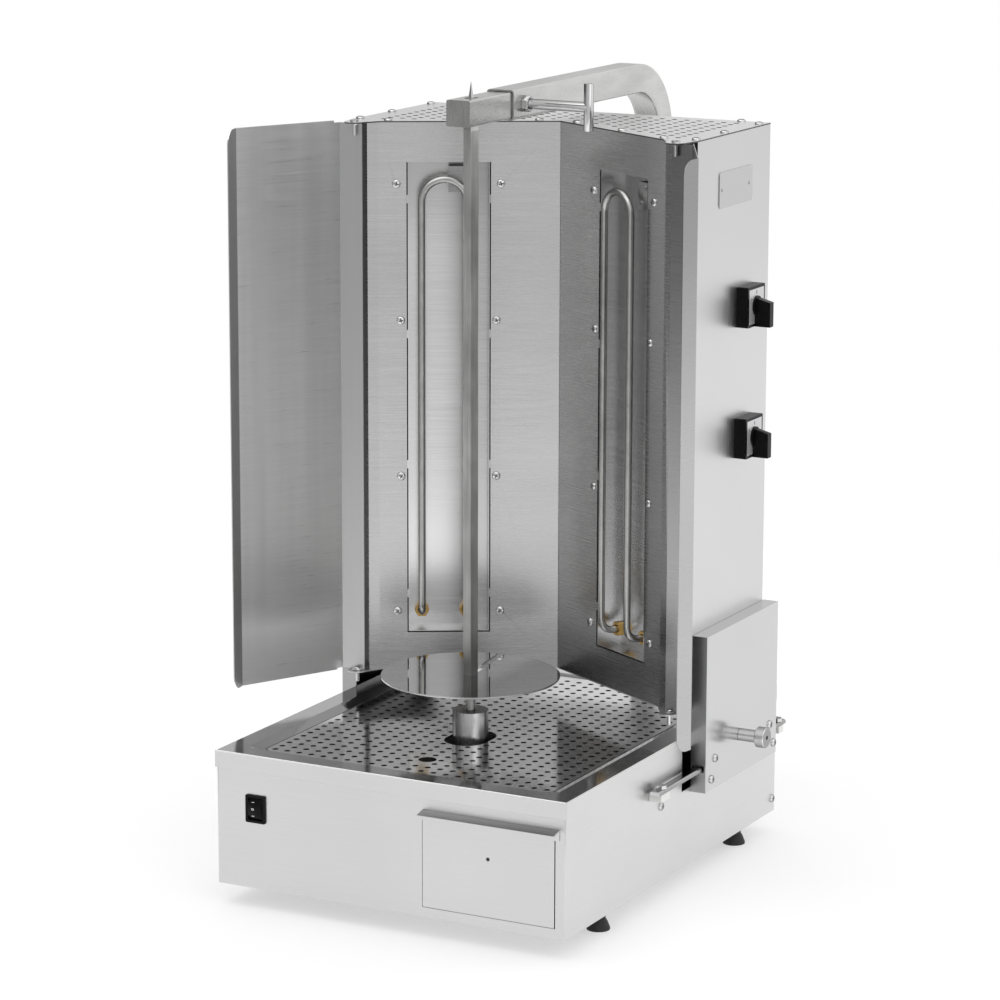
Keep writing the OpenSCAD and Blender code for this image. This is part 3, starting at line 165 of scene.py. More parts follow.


# Stretch is the grain, clouds and drift are slow changes, the slant entry paints shade on faces seen at a
# slant, and each painted fall paints light and shade along an axis: from one place to another in metres, to
# these strengths
steelLooks = {
    "panelSteel": {"color": (0.61, 0.61, 0.61), "rough": 0.26, "stretch": (14, 14, 1500),
                   "clouds": (3, 3, 6), "contrast": 0.07, "drift": 0.05, "bump": 0.3},
    # Painted shade: the left heater panel darkens towards its lower part
    "leftPanelSteel": {"color": (0.68, 0.68, 0.68), "rough": 0.26, "stretch": (14, 14, 1500),
                       "clouds": (3, 3, 6), "contrast": 0.07, "drift": 0.05, "bump": 0.3,
                       "paintedFalls": [{"axis": "Z", "from": (0.2, 0.5), "to": (0.74, 1)}]},
    # Painted light and shade: the right heater panel is darker low down and towards its outer end, brighter
    # high up
    "rightPanelSteel": {"color": (0.72, 0.72, 0.72), "rough": 0.26, "stretch": (14, 14, 1500),
                        "clouds": (3, 3, 6), "contrast": 0.04, "drift": 0.04, "bump": 0.15,
                        "paintedFalls": [{"axis": "Z", "from": (0.25, 0.85), "to": (0.62, 1.25)},
                                  {"axis": "X", "from": (0.05, 0.16), "to": (1, 0.5)}]},
    # Painted light: the left door's steel is lighter than the right door's, and brighter still towards its
    # bottom
    "doorSteel": {"color": (0.87, 0.87, 0.87), "rough": 0.32, "stretch": (14, 14, 1300),
                  "clouds": (30, 30, 1.5), "contrast": 0.05, "drift": 0.06, "bump": 0.25,
                  "paintedFalls": [{"axis": "Z", "from": (0.15, 0.5), "to": (1.18, 1)}]},
    # Painted shade: the right door's steel is darker than the left door's, and darker still towards its top
    "rightDoorSteel": {"color": (0.5, 0.5, 0.5), "rough": 0.3, "stretch": (14, 14, 1300),
                       "clouds": (5, 5, 6), "contrast": 0.03, "drift": 0.03, "bump": 0.1,
                       "paintedFalls": [{"axis": "Z", "from": (0.5, 0.85), "to": (1, 0.6)}]},
    "sheetSteel": {"color": (0.68, 0.68, 0.68), "rough": 0.34, "stretch": (12, 12, 1100),
                   "clouds": (4, 4, 5), "contrast": 0.03, "drift": 0.03, "bump": 0.15},
    "lipSteel": {"color": (0.63, 0.63, 0.63), "rough": 0.22, "stretch": (12, 12, 1100),
                 "clouds": (4, 4, 5), "contrast": 0.03, "drift": 0.03, "bump": 0.1},
    # Painted shade: the top of the drawer handle is dark steel, lighter towards its left end and darker
    # towards its right
    "handleSteel": {"color": (0.36, 0.36, 0.36), "rough": 0.25, "stretch": (12, 12, 1100),
                    "clouds": (4, 4, 5), "contrast": 0.02, "drift": 0.02, "bump": 0.05,
                    "paintedFalls": [{"axis": "X", "from": (0.05, 0.22), "to": (1.2, 0.8)}]},
    "boxSteel": {"color": (0.6, 0.6, 0.6), "rough": 0.2, "stretch": (12, 12, 1100),
                 "clouds": (4, 4, 5), "contrast": 0.02, "drift": 0.02, "bump": 0.05},
    # Painted shade: a darker copy of the side steel on the left door's front-facing faces
    "postSteel": {"color": (0.56, 0.56, 0.56), "rough": 0.34, "stretch": (900, 900, 9),
                  "clouds": (4, 4, 3), "contrast": 0.02, "drift": 0.02, "bump": 0.1},
    # Painted shade: the fronts of the side boxes and the hem of the left door
    "boxFrontSteel": {"color": (0.42, 0.42, 0.42), "rough": 0.35, "stretch": (12, 12, 1100),
                      "clouds": (4, 4, 5), "contrast": 0.03, "drift": 0.03, "bump": 0.1},
    # Painted shade: the slopes of the tray's recess
    "slopeSteel": {"color": (0.34, 0.34, 0.34), "rough": 0.34, "stretch": (60, 500, 60),
                   "clouds": (4, 4, 4), "contrast": 0.03, "drift": 0.03, "bump": 0.05},
    # Painted shade: the side and back panels darken towards their tops
    "sideSteel": {"color": (0.66, 0.66, 0.66), "rough": 0.34, "stretch": (900, 900, 9),
                  "clouds": (4, 4, 3), "contrast": 0.02, "drift": 0.02, "bump": 0.12,
                  "paintedFalls": [{"axis": "Z", "from": (0.55, 0.9), "to": (1, 0.86)}]},
    "coverSteel": {"color": (0.8, 0.8, 0.8), "rough": 0.28, "stretch": (10, 1100, 10),
                   "clouds": (4, 4, 4), "contrast": 0.03, "drift": 0.03, "bump": 0.1},
    "armSteel": {"color": (0.52, 0.52, 0.515), "rough": 0.27, "stretch": (700, 16, 60),
                 "clouds": (14, 6, 10), "contrast": 0.1, "drift": 0.12, "bump": 0.2},
    # Painted light and shade: the spit rod is darker low down and a little brighter at its top
    "spitSteel": {"color": (0.66, 0.66, 0.65), "rough": 0.42, "stretch": (500, 500, 9),
                  "clouds": (30, 30, 16), "contrast": 0.14, "drift": 0.16, "bump": 0.3,
                  "paintedFalls": [{"axis": "Z", "from": (0.25, 0.55), "to": (0.6, 1.05)}]},
    "mirrorSteel": {"color": (0.55, 0.55, 0.55), "rough": 0.1, "stretch": (6, 300, 6),
                    "clouds": (2, 2, 2), "contrast": 0.01, "drift": 0.01, "bump": 0.02},
    # Painted shade: the disc darkens towards its right side
    "discSteel": {"color": (0.6, 0.6, 0.6), "rough": 0.04, "stretch": (6, 300, 6),
                  "clouds": (2, 2, 2), "contrast": 0.01, "drift": 0.01, "bump": 0.02,
                  "paintedFalls": [{"axis": "X", "from": (0.01, 0.05), "to": (1, 0.62)}]},
    "plateSteel": {"color": (0.82, 0.82, 0.82), "rough": 0.12, "stretch": (60, 500, 60),
                   "clouds": (40, 40, 40), "contrast": 0.05, "drift": 0.08, "bump": 0.1},
    # Painted shade darkens the slanting sides of the socket and collar
    "socketSteel": {"color": (0.62, 0.62, 0.62), "rough": 0.3, "stretch": (400, 400, 12),
                    "clouds": (60, 60, 8), "contrast": 0.12, "drift": 0.15, "bump": 0.2, "edge": 0.25},
    # Painted light and shade: the left reflector's steel is lighter than the right one's, and darkens towards
    # the middle, its top and its bottom
    "leftReflectorSteel": {"color": (0.9, 0.9, 0.9), "rough": 0.2, "stretch": (12, 12, 900),
                           "clouds": (5, 5, 6), "contrast": 0.05, "drift": 0.05, "bump": 0.2,
                           "paintedFalls": [{"axis": "X", "from": (-0.13, -0.07), "to": (1, 0.7)},
                                     {"axis": "Z", "from": (0.7, 0.83), "to": (1, 0.7)},
                                     {"axis": "Z", "from": (0.25, 0.5), "to": (0.84, 1)}]},
    # Painted light and shade: the right reflector's steel is darker than the left one's, and brightens
    # towards its bottom
    "rightReflectorSteel": {"color": (0.6, 0.6, 0.6), "rough": 0.2, "stretch": (12, 12, 900),
                            "clouds": (5, 5, 6), "contrast": 0.05, "drift": 0.05, "bump": 0.2,
                            "paintedFalls": [{"axis": "Z", "from": (0.25, 0.4), "to": (1.2, 1)}]},
    "bracketSteel": {"color": (0.42, 0.42, 0.42), "rough": 0.3, "stretch": (14, 14, 900),
                     "clouds": (20, 20, 20), "contrast": 0.05, "drift": 0.05, "bump": 0.1},
    "blankPlateSteel": {"color": (0.5, 0.5, 0.5), "rough": 0.22, "stretch": (60, 60, 900),
                   "clouds": (5, 5, 5), "contrast": 0.01, "drift": 0.01, "bump": 0.02},
    # Painted shade darkens the slanting sides of the heating elements
    "elementSteel": {"color": (0.5, 0.5, 0.49), "rough": 0.24, "stretch": (120, 120, 60),
                     "clouds": (20, 20, 14), "contrast": 0.08, "drift": 0.12, "bump": 0.15, "edge": 0.08},
    # Painted shade darkens the slanting sides of the screws, nuts and other hardware
    "hardwareSteel": {"color": (0.78, 0.78, 0.78), "rough": 0.15, "stretch": (300, 300, 300),
                      "clouds": (30, 30, 30), "contrast": 0.04, "drift": 0.04, "bump": 0.05, "edge": 0.2},
    # Painted shade: the tray's pan below the drip plate
    "panSteel": {"color": (0.3, 0.3, 0.3), "rough": 0.4, "stretch": (60, 500, 60),
                 "clouds": (4, 4, 4), "contrast": 0.03, "drift": 0.05, "bump": 0.1},
    # Painted highlight: bright steel for the line along the tray's front fold
    "edgeSteel": {"color": (0.93, 0.93, 0.93), "rough": 0.3, "stretch": (60, 60, 60),
                  "clouds": (4, 4, 4), "contrast": 0.01, "drift": 0.01, "bump": 0.02},
    # Painted shade: near black steel for gaps, the side panels' front flanges and the walls of the perforated
    # sheets
    "gapSteel": {"color": (0.12, 0.12, 0.12), "rough": 0.4, "stretch": (14, 14, 900),
                 "clouds": (8, 8, 8), "contrast": 0.03, "drift": 0.05, "bump": 0.02},
}
plainLooks = {
    # Near black: painted shade in the screw slots, the disc's slot and the drawer gap, and the print of the
    # switch marks
    "recessDark": {"color": (0.05, 0.05, 0.05), "rough": 0.5},
    "brassGold": {"color": (0.62, 0.4, 0.13), "rough": 0.22, "metal": 1, "contrast": 0.1},
    "bronzeBush": {"color": (0.45, 0.28, 0.15), "rough": 0.35, "metal": 1},
    "blackPlastic": {"color": (0.004, 0.004, 0.0045), "rough": 0.3, "gloss": 0.12},
    "blackRubber": {"color": (0.012, 0.012, 0.012), "rough": 0.6},
    "whitePlastic": {"color": (0.78, 0.78, 0.76), "rough": 0.4},
    "motorGrey": {"color": (0.1, 0.1, 0.105), "rough": 0.45},
    "whitePrint": {"color": (0.85, 0.85, 0.85), "rough": 0.5},
    "labelSilver": {"color": (0.62, 0.62, 0.63), "rough": 0.35, "metal": 0.6},
}
looks = {name: brushedSteel(name, look) for name, look in steelLooks.items()}
looks.update({name: plainLook(name, look) for name, look in plainLooks.items()})

nodeLooks = {
    "sheetSteel": ["base_shell", "drawer_front", "cabinet_floor", "arm_flange"],
    "boxSteel": ["side_box_left", "side_box_right"],
    "sideSteel": ["side_panel_left", "side_panel_right", "back_panel"],
    "coverSteel": ["top_cover"],
    "doorSteel": ["door_left"],
    "rightDoorSteel": ["door_right"],
    "leftPanelSteel": ["heater_panel_left"],
    "rightPanelSteel": ["heater_panel_right"],
    "socketSteel": ["drive_socket", "disc_collar"],
    "panelSteel": ["bottom_plate", "drawer_box", "drawer_runners", "motor_bracket", "arm_saddle",
                   "lock_plate"],
    "bracketSteel": ["element_brackets"],
    "leftReflectorSteel": ["reflector_left"],
    "rightReflectorSteel": ["reflector_right"],
    "blankPlateSteel": ["blank_plate"],
    "mirrorSteel": ["top_tray"],
    "discSteel": ["spit_disc"],
    "plateSteel": ["drip_plate"],
    "armSteel": ["arm_tube", "arm_bar", "arm_end_cap"],
    "spitSteel": ["spit_rod"],
    "elementSteel": ["heating_element_left", "heating_element_right"],
    "hardwareSteel": ["clamp_nut", "clamp_screw", "lock_knob", "hinge_pins", "guide_rails", "base_screws",
                      "base_bolts", "cover_screws", "panel_screws", "side_box_screws", "drive_shaft"],
    "brassGold": ["element_fittings"],
    "bronzeBush": ["shaft_bearing"],
    "blackPlastic": ["rocker_housing", "rocker_paddle", "switch_body_upper", "switch_body_lower",
                     "switch_lever_upper", "switch_lever_lower", "cable_gland"],
    "blackRubber": ["rubber_feet"],
    "whitePlastic": ["rail_blocks", "slide_blocks", "terminal_block"],
    "motorGrey": ["gear_motor"],
}
for look, names in nodeLooks.items():
    for name in names:
        nodes[name].data.materials.clear()
        nodes[name].data.materials.append(looks[look])


def paintFaces(name, look, chosen):
    mesh = nodes[name].data
    mesh.materials.append(looks[look])
    index = len(mesh.materials) - 1
    for face in mesh.polygons:
        place = nodes[name].matrix_world @ face.center
        if chosen(place.x / mm, (place.y - yFront) / mm, place.z / mm, face.normal):
            face.material_index = index


squareOn = 0.9  # a normal past this points straight along an axis


def looksForward(normal):
    return normal.y < -squareOn


# Where each of these pieces changes its finish or gets painted shade, in mm from the middle, the base's front
# and the floor
trayPaint = {"wall": 0.5, "half": 224, "front": 0.5, "back": 571, "slope": (0.1, 0.9),
             "panTop": 177.4, "panHalf": 200, "panFront": 30, "panBack": 510}
drawerPaint = {"boxFront": 2, "handleUp": 0.5, "handleFront": -1, "handleLow": 100}
discPaint = {"wall": 0.3, "centre": 198, "radius": 98}
doorPaint = {"hemFacing": 0.95, "hemX": -285}
panelPaint = {"flangeBack": 324}
# Painted shade on all but the tray's lip, which only changes finish: the tray's slopes and pan, the drawer
# box's front, the top of the handle, the far wall of the disc's slot, the left door's front faces and hem,
# the side boxes' fronts and the side panels' front flanges
paints = [
    ("top_tray", "lipSteel", lambda x, y, z, n: abs(n.z) < trayPaint["wall"] and (
        abs(x) > trayPaint["half"] or y < trayPaint["front"] or y > trayPaint["back"])),
    ("top_tray", "slopeSteel", lambda x, y, z, n: (
        trayPaint["slope"][0] < n.z < trayPaint["slope"][1] and abs(x) < trayPaint["half"])),
    ("top_tray", "panSteel", lambda x, y, z, n: (
        z < trayPaint["panTop"] and abs(x) < trayPaint["panHalf"]
        and trayPaint["panFront"] < y < trayPaint["panBack"])),
    ("drawer_box", "recessDark", lambda x, y, z, n: looksForward(n) and y < drawerPaint["boxFront"]),
    ("drawer_front", "handleSteel", lambda x, y, z, n: (
        n.z > drawerPaint["handleUp"] and y < drawerPaint["handleFront"] and z > drawerPaint["handleLow"])),
    ("spit_disc", "recessDark", lambda x, y, z, n: (
        abs(n.z) < discPaint["wall"] and n.y < -discPaint["wall"]
        and math.hypot(x, y - discPaint["centre"]) < discPaint["radius"])),
    ("door_left", "postSteel", lambda x, y, z, n: looksForward(n)),
    ("door_left", "boxFrontSteel", lambda x, y, z, n: n.x > doorPaint["hemFacing"] and x < doorPaint["hemX"]),
    ("side_box_left", "boxFrontSteel", lambda x, y, z, n: looksForward(n)),
    ("side_box_right", "boxFrontSteel", lambda x, y, z, n: looksForward(n)),
    ("side_panel_left", "gapSteel", lambda x, y, z, n: looksForward(n) and y < panelPaint["flangeBack"]),
    ("side_panel_right", "gapSteel", lambda x, y, z, n: looksForward(n) and y < panelPaint["flangeBack"]),
]
for name, look, chosen in paints:
    paintFaces(name, look, chosen)
print("materials set")

# Softened edges of the CAD pieces, by their width in mm
edgeLook = {"weld": 0.01, "segments": 2, "angle": 35}
edgeWidths = {
    0.9: ["top_tray"],
    0.45: ["drawer_front", "arm_flange", "arm_bar", "arm_end_cap", "base_shell",
           "side_panel_left", "side_panel_right", "back_panel"],
    0.3: ["door_left", "door_right", "heater_panel_left", "heater_panel_right", "spit_rod", "spit_disc",
          "element_brackets", "cabinet_floor", "blank_plate", "guide_rails"],
    0.8: ["switch_body_upper", "switch_body_lower", "switch_lever_upper", "switch_lever_lower", "rail_blocks",
          "clamp_nut", "clamp_screw", "element_fittings"],
    0.25: ["drive_socket", "disc_collar"],
    0.5: ["rocker_housing", "rocker_paddle"],
}


def softenEdges(thing, width):
    weld = thing.modifiers.new("weld", "WELD")
    weld.merge_threshold = edgeLook["weld"] * mm
    bevel = thing.modifiers.new("bevel", "BEVEL")
    bevel.width = width * mm
    bevel.segments = edgeLook["segments"]
    bevel.limit_method = "ANGLE"
    bevel.angle_limit = math.radians(edgeLook["angle"])
    bevel.use_clamp_overlap = True
    bevel.harden_normals = True


for width, names in edgeWidths.items():
    for name in names:
        softenEdges(nodes[name], width)
print("edges softened")


# Helpers for the added pieces

def meshObject(name, vertices, faces, material=None, smoothAngle=35):
    mesh = bpy.data.meshes.new(name)
    mesh.from_pydata([tuple(v) for v in vertices], [], faces)
    mesh.update()
    if smoothAngle and faces:
        mesh.polygons.foreach_set("use_smooth", [True] * len(mesh.polygons))
        mesh.set_sharp_from_angle(angle=math.radians(smoothAngle))
    if material:
        mesh.materials.append(material)
    thing = bpy.data.objects.new(name, mesh)
    scene.collection.objects.link(thing)
    return thing


def lathe(profile, sides):
    vertices = []
    faces = []
    for r, z in profile:
        for k in range(sides):
            turn = 2 * math.pi * k / sides
            vertices.append((r * math.cos(turn), r * math.sin(turn), z))
    for row in range(len(profile) - 1):
        for k in range(sides):
            other = (k + 1) % sides
            faces.append((row * sides + k, row * sides + other,
                          (row + 1) * sides + other, (row + 1) * sides + k))
    faces.append(tuple(range(sides - 1, -1, -1)))
    faces.append(tuple(range((len(profile) - 1) * sides, len(profile) * sides)))
    return vertices, faces


def box(name, lowCorner, highCorner, material):
    (x0, y0, z0), (x1, y1, z1) = lowCorner, highCorner
    vertices = [(x0, y0, z0), (x1, y0, z0), (x1, y1, z0), (x0, y1, z0),
                (x0, y0, z1), (x1, y0, z1), (x1, y1, z1), (x0, y1, z1)]
    faces = [(0, 3, 2, 1), (4, 5, 6, 7), (0, 1, 5, 4), (1, 2, 6, 5), (2, 3, 7, 6), (3, 0, 4, 7)]
    return meshObject(name, vertices, faces, material, 0)


def freshTree(name, inputs):
    tree = bpy.data.node_groups.new(name, "GeometryNodeTree")
    tree.interface.new_socket("Geometry", in_out="INPUT", socket_type="NodeSocketGeometry")
    for label, kind in inputs:
        tree.interface.new_socket(label, in_out="INPUT", socket_type=kind)
    tree.interface.new_socket("Geometry", in_out="OUTPUT", socket_type="NodeSocketGeometry")
    return tree, tree.nodes.new("NodeGroupInput"), tree.nodes.new("NodeGroupOutput")


def applyTree(thing, tree, values):
    modifier = thing.modifiers.new(tree.name, "NODES")
    modifier.node_group = tree
    for item in tree.interface.items_tree:
        if item.in_out == "INPUT" and item.name in values:
            modifier[item.identifier] = values[item.name]
    bpy.context.view_layer.update()
    graph = bpy.context.evaluated_depsgraph_get()
    mesh = bpy.data.meshes.new_from_object(thing.evaluated_get(graph))
    thing.modifiers.clear()
    old = thing.data
    thing.data = mesh
    mesh.name = thing.name
    bpy.data.meshes.remove(old)
    return thing


# Perforated sheets

sheetLook = {"merge": 0.001, "wall": 0.5}


def perforationTree():
    tree, given, result = freshTree("perforatedSheet", [
        ("Outline", "NodeSocketObject"), ("Hole Radius", "NodeSocketFloat"), ("Hole Sides", "NodeSocketInt"),
        ("Thickness", "NodeSocketFloat"), ("Height", "NodeSocketFloat"), ("Material", "NodeSocketMaterial")])
    new, link = tree.nodes.new, tree.links.new
    outline = new("GeometryNodeObjectInfo")
    border = new("GeometryNodeMeshToCurve")
    circle = new("GeometryNodeCurvePrimitiveCircle")
    place = new("GeometryNodeInstanceOnPoints")
    realize = new("GeometryNodeRealizeInstances")
    join = new("GeometryNodeJoinGeometry")
    fill = new("GeometryNodeFillCurve")
    extrude = new("GeometryNodeExtrudeMesh")
    extrude.inputs["Individual"].default_value = False
    flip = new("GeometryNodeFlipFaces")
    both = new("GeometryNodeJoinGeometry")
    merge = new("GeometryNodeMergeByDistance")
    merge.inputs["Distance"].default_value = sheetLook["merge"] * mm
    raised = new("ShaderNodeCombineXYZ")
    shift = new("GeometryNodeTransform")
    paint = new("GeometryNodeSetMaterial")
    link(given.outputs["Outline"], outline.inputs["Object"])
    link(outline.outputs["Geometry"], border.inputs["Mesh"])
    link(given.outputs["Hole Radius"], circle.inputs["Radius"])
    link(given.outputs["Hole Sides"], circle.inputs["Resolution"])
    link(given.outputs["Geometry"], place.inputs["Points"])
    link(circle.outputs["Curve"], place.inputs["Instance"])
    link(place.outputs["Instances"], realize.inputs["Geometry"])
    link(realize.outputs["Geometry"], join.inputs["Geometry"])
    link(border.outputs["Curve"], join.inputs["Geometry"])
    link(join.outputs["Geometry"], fill.inputs["Curve"])
    link(fill.outputs["Mesh"], extrude.inputs["Mesh"])
    link(given.outputs["Thickness"], extrude.inputs["Offset Scale"])
    link(fill.outputs["Mesh"], flip.inputs["Mesh"])
    link(extrude.outputs["Mesh"], both.inputs["Geometry"])
    link(flip.outputs["Mesh"], both.inputs["Geometry"])
    link(both.outputs["Geometry"], merge.inputs["Geometry"])
    link(given.outputs["Height"], raised.inputs["Z"])
    link(merge.outputs["Geometry"], shift.inputs["Geometry"])
    link(raised.outputs["Vector"], shift.inputs["Translation"])
    link(shift.outputs["Geometry"], paint.inputs["Geometry"])
    link(given.outputs["Material"], paint.inputs["Material"])
    link(paint.outputs["Geometry"], result.inputs["Geometry"])
    return tree


def ringVertices(loops, z):
    vertices = []
    edges = []
    for loop in loops:
        first = len(vertices)
        vertices += [tuple(spot(x, y, z)) for x, y in loop]
        edges += [(first + i, first + (i + 1) % len(loop)) for i in range(len(loop))]
    return vertices, edges


def perforatedSheet(name, spec, loops, holes):
    vertices, edges = ringVertices(loops, spec["z"])
    mesh = bpy.data.meshes.new(name + "Outline")
    mesh.from_pydata(vertices, edges, [])
    outline = bpy.data.objects.new(name + "Outline", mesh)
    scene.collection.objects.link(outline)
    sheet = meshObject(name, [spot(x, y, spec["z"]) for x, y in holes], [])
    applyTree(sheet, holeTree, {
        "Outline": outline, "Hole Radius": spec["holeRadius"] * mm, "Hole Sides": spec["holeSides"],
        "Thickness": spec["thickness"] * mm, "Height": spec["z"] * mm, "Material": looks[spec["material"]]})
    bpy.data.objects.remove(outline)
    bpy.data.meshes.remove(mesh)
    return sheet


# Painted shade: the chosen walls of a sheet's holes and outline get near black steel
def paintShadeOnWalls(sheet, chosen):
    sheet.data.materials.append(looks["gapSteel"])
    for face in sheet.data.polygons:
        if abs(face.normal.z) < sheetLook["wall"] and chosen(face.center):
            face.material_index = len(sheet.data.materials) - 1


def arcPoints(cx, cy, r, start, end, count):
    turns = [math.radians(start + (end - start) * i / count) for i in range(count + 1)]
    return [(cx + r * math.cos(turn), cy + r * math.sin(turn)) for turn in turns]


def roundedLoop(x0, y0, x1, y1, r, count=8):
    return (arcPoints(x1 - r, y1 - r, r, 0, 90, count) + arcPoints(x0 + r, y1 - r, r, 90, 180, count)
            + arcPoints(x0 + r, y0 + r, r, 180, 270, count) + arcPoints(x1 - r, y0 + r, r, 270, 360, count))


holeTree = perforationTree()
plateSpec = {
    "x": 185.8, "front": 39.2, "back": 498.8, "corner": 11, "z": 177.5, "thickness": 1.5,
    "pitch": 16, "columns": 11, "firstRow": 49.3, "rows": 29, "holeRadius": 3.5, "holeSides": 16,
    "slotCentre": 198, "slotWidth": 52, "slotLength": 72, "slotSides": 24,
    "finger": 94, "fingerDiameter": 21, "fingerSides": 28,
    "clear": 5, "edgeClear": 4, "brightEdge": 3, "material": "plateSteel",
}


def slotHalf(spec):
    return (spec["slotLength"] - spec["slotWidth"]) / 2


def plateHoles(spec):
    found = []
    for column in range(-spec["columns"], spec["columns"] + 1):
        for row in range(spec["rows"]):
            x, y = column * spec["pitch"], spec["firstRow"] + row * spec["pitch"]
            half = slotHalf(spec)
            nearest = max(spec["slotCentre"] - half, min(spec["slotCentre"] + half, y))
            if math.hypot(x, y - nearest) < spec["slotWidth"] / 2 + spec["clear"]:
                continue
            if math.hypot(x, y - spec["finger"]) < spec["fingerDiameter"] / 2 + spec["clear"]:
                continue
            corner = math.hypot(max(abs(x) - spec["x"] + spec["corner"], 0),
                                max(spec["front"] + spec["corner"] - y, y - spec["back"] + spec["corner"], 0))
            if corner < spec["corner"] - spec["edgeClear"]:
                found.append((x, y))
    return found


def plateLoops(spec):
    half, r, sides = slotHalf(spec), spec["slotWidth"] / 2, spec["slotSides"]
    slot = (arcPoints(0, spec["slotCentre"] + half, r, 0, 180, sides)
            + arcPoints(0, spec["slotCentre"] - half, r, 180, 360, sides))
    finger = arcPoints(0, spec["finger"], spec["fingerDiameter"] / 2, 0, 360, spec["fingerSides"])[:-1]
    return [roundedLoop(-spec["x"], spec["front"], spec["x"], spec["back"], spec["corner"]), slot, finger]


dripPlate = perforatedSheet("perforatedPlate", plateSpec, plateLoops(plateSpec), plateHoles(plateSpec))
# Painted shade on the drip plate's walls, all but those near its left and right edges
paintShadeOnWalls(dripPlate, lambda centre: abs(centre.x) < (plateSpec["x"] - plateSpec["brightEdge"]) * mm)
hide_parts("drip_plate")
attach(dripPlate, "drip_tray")

# A rod along the tray's rounded front fold, in bright steel: a painted highlight line
rolledEdge = {"radius": 0.9, "sides": 12, "y": -1, "z": 183.5, "half": 225.5}
edgeVertices, edgeFaces = lathe([(rolledEdge["radius"] * mm, -rolledEdge["half"] * mm),
                                 (rolledEdge["radius"] * mm, rolledEdge["half"] * mm)], rolledEdge["sides"])
trayEdge = meshObject("trayEdge", [spot(0, rolledEdge["y"], rolledEdge["z"]) + Vector((c, a, b))
                                   for a, b, c in edgeVertices], edgeFaces, looks["edgeSteel"])
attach(trayEdge, "base")

coverSpec = {
    "z": 876.5, "thickness": 1.5, "tip": (0, 422), "vEnds": [(184.6, 316.5), (196.6, 298)],
    "hinge": (208.6, 297.6), "hingeRadius": 12, "hingeSides": 14, "backEnds": [(225, 321.5), (225, 524.5)],
    "pitch": 16, "margin": 17, "back": 516, "columns": 13, "rows": 14, "holeRadius": 3.5, "holeSides": 14,
    "material": "coverSteel",
}


def coverOutline(spec):
    hinge = arcPoints(*spec["hinge"], spec["hingeRadius"], 180, 360, spec["hingeSides"])[1:]
    rightHalf = spec["vEnds"] + hinge + spec["backEnds"]
    return [spec["tip"]] + rightHalf + [(-x, y) for x, y in reversed(rightHalf)]


def coverHoles(outline, spec):
    sides = list(zip(outline, outline[1:] + outline[:1]))

    def inside(x, y):
        hit = False
        for (ax, ay), (bx, by) in sides:
            if (ay > y) != (by > y) and x < (bx - ax) * (y - ay) / (by - ay) + ax:
                hit = not hit
        return hit

    def edgeDistance(x, y):
        found = []
        for (ax, ay), (bx, by) in sides:
            squared = (bx - ax) ** 2 + (by - ay) ** 2
            t = max(0, min(1, ((x - ax) * (bx - ax) + (y - ay) * (by - ay)) / squared))
            found.append(math.hypot(x - ax - t * (bx - ax), y - ay - t * (by - ay)))
        return min(found)

    grid = [(column * spec["pitch"], spec["back"] - spec["margin"] - row * spec["pitch"])
            for column in range(-spec["columns"], spec["columns"] + 1) for row in range(spec["rows"])]
    return [(x, y) for x, y in grid if inside(x, y) and edgeDistance(x, y) > spec["margin"]]


coverLoop = coverOutline(coverSpec)
cover = perforatedSheet("perforatedCover", coverSpec, [coverLoop], coverHoles(coverLoop, coverSpec))
# Painted shade on every wall of the cover, its holes and its outline
paintShadeOnWalls(cover, lambda centre: True)
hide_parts("top_cover")
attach(cover, "cabinet")
print("perforated sheets made")

# Screws

screwLook = {
    "radius": 5, "height": 2.8, "sides": 24, "shank": 2, "shankDepth": 2, "smooth": 50, "maxTurn": 1.57,
    "dome": [(1, 0), (1, 0.4), (0.95, 0.62), (0.8, 0.83), (0.58, 0.95), (0.3, 1)],
    "slotLength": 5.6, "slotWidth": 1.1, "slotFloor": 0.7, "slotTop": 1.012,
}


def screwTree():
    tree, given, result = freshTree("screwSet", [
        ("Head", "NodeSocketObject"), ("Recess", "NodeSocketObject"), ("Head Material", "NodeSocketMaterial"),
        ("Recess Material", "NodeSocketMaterial")])
    new, link = tree.nodes.new, tree.links.new
    facing = new("GeometryNodeInputNamedAttribute")
    facing.data_type = "FLOAT_VECTOR"
    facing.inputs["Name"].default_value = "facing"
    align = new("FunctionNodeAlignRotationToVector")
    align.axis = "Z"
    spin = new("FunctionNodeRandomValue")
    spin.data_type = "FLOAT"
    spin.inputs["Max"].default_value = screwLook["maxTurn"]
    turn = new("FunctionNodeAxisAngleToRotation")
    combine = new("FunctionNodeRotateRotation")
    combine.rotation_space = "LOCAL"
    join = new("GeometryNodeJoinGeometry")
    link(facing.outputs["Attribute"], align.inputs["Vector"])
    link([s for s in spin.outputs if s.enabled][0], turn.inputs["Angle"])
    link(align.outputs["Rotation"], combine.inputs["Rotation"])
    link(turn.outputs["Rotation"], combine.inputs["Rotate By"])
    for part, paint in (("Head", "Head Material"), ("Recess", "Recess Material")):
        info = new("GeometryNodeObjectInfo")
        place = new("GeometryNodeInstanceOnPoints")
        realize = new("GeometryNodeRealizeInstances")
        material = new("GeometryNodeSetMaterial")
        link(given.outputs[part], info.inputs["Object"])
        link(given.outputs["Geometry"], place.inputs["Points"])
        link(info.outputs["Geometry"], place.inputs["Instance"])
        link(combine.outputs["Rotation"], place.inputs["Rotation"])
        link(place.outputs["Instances"], realize.inputs["Geometry"])
        link(realize.outputs["Geometry"], material.inputs["Geometry"])
        link(given.outputs[paint], material.inputs["Material"])
        link(material.outputs["Geometry"], join.inputs["Geometry"])
    link(join.outputs["Geometry"], result.inputs["Geometry"])
    return tree


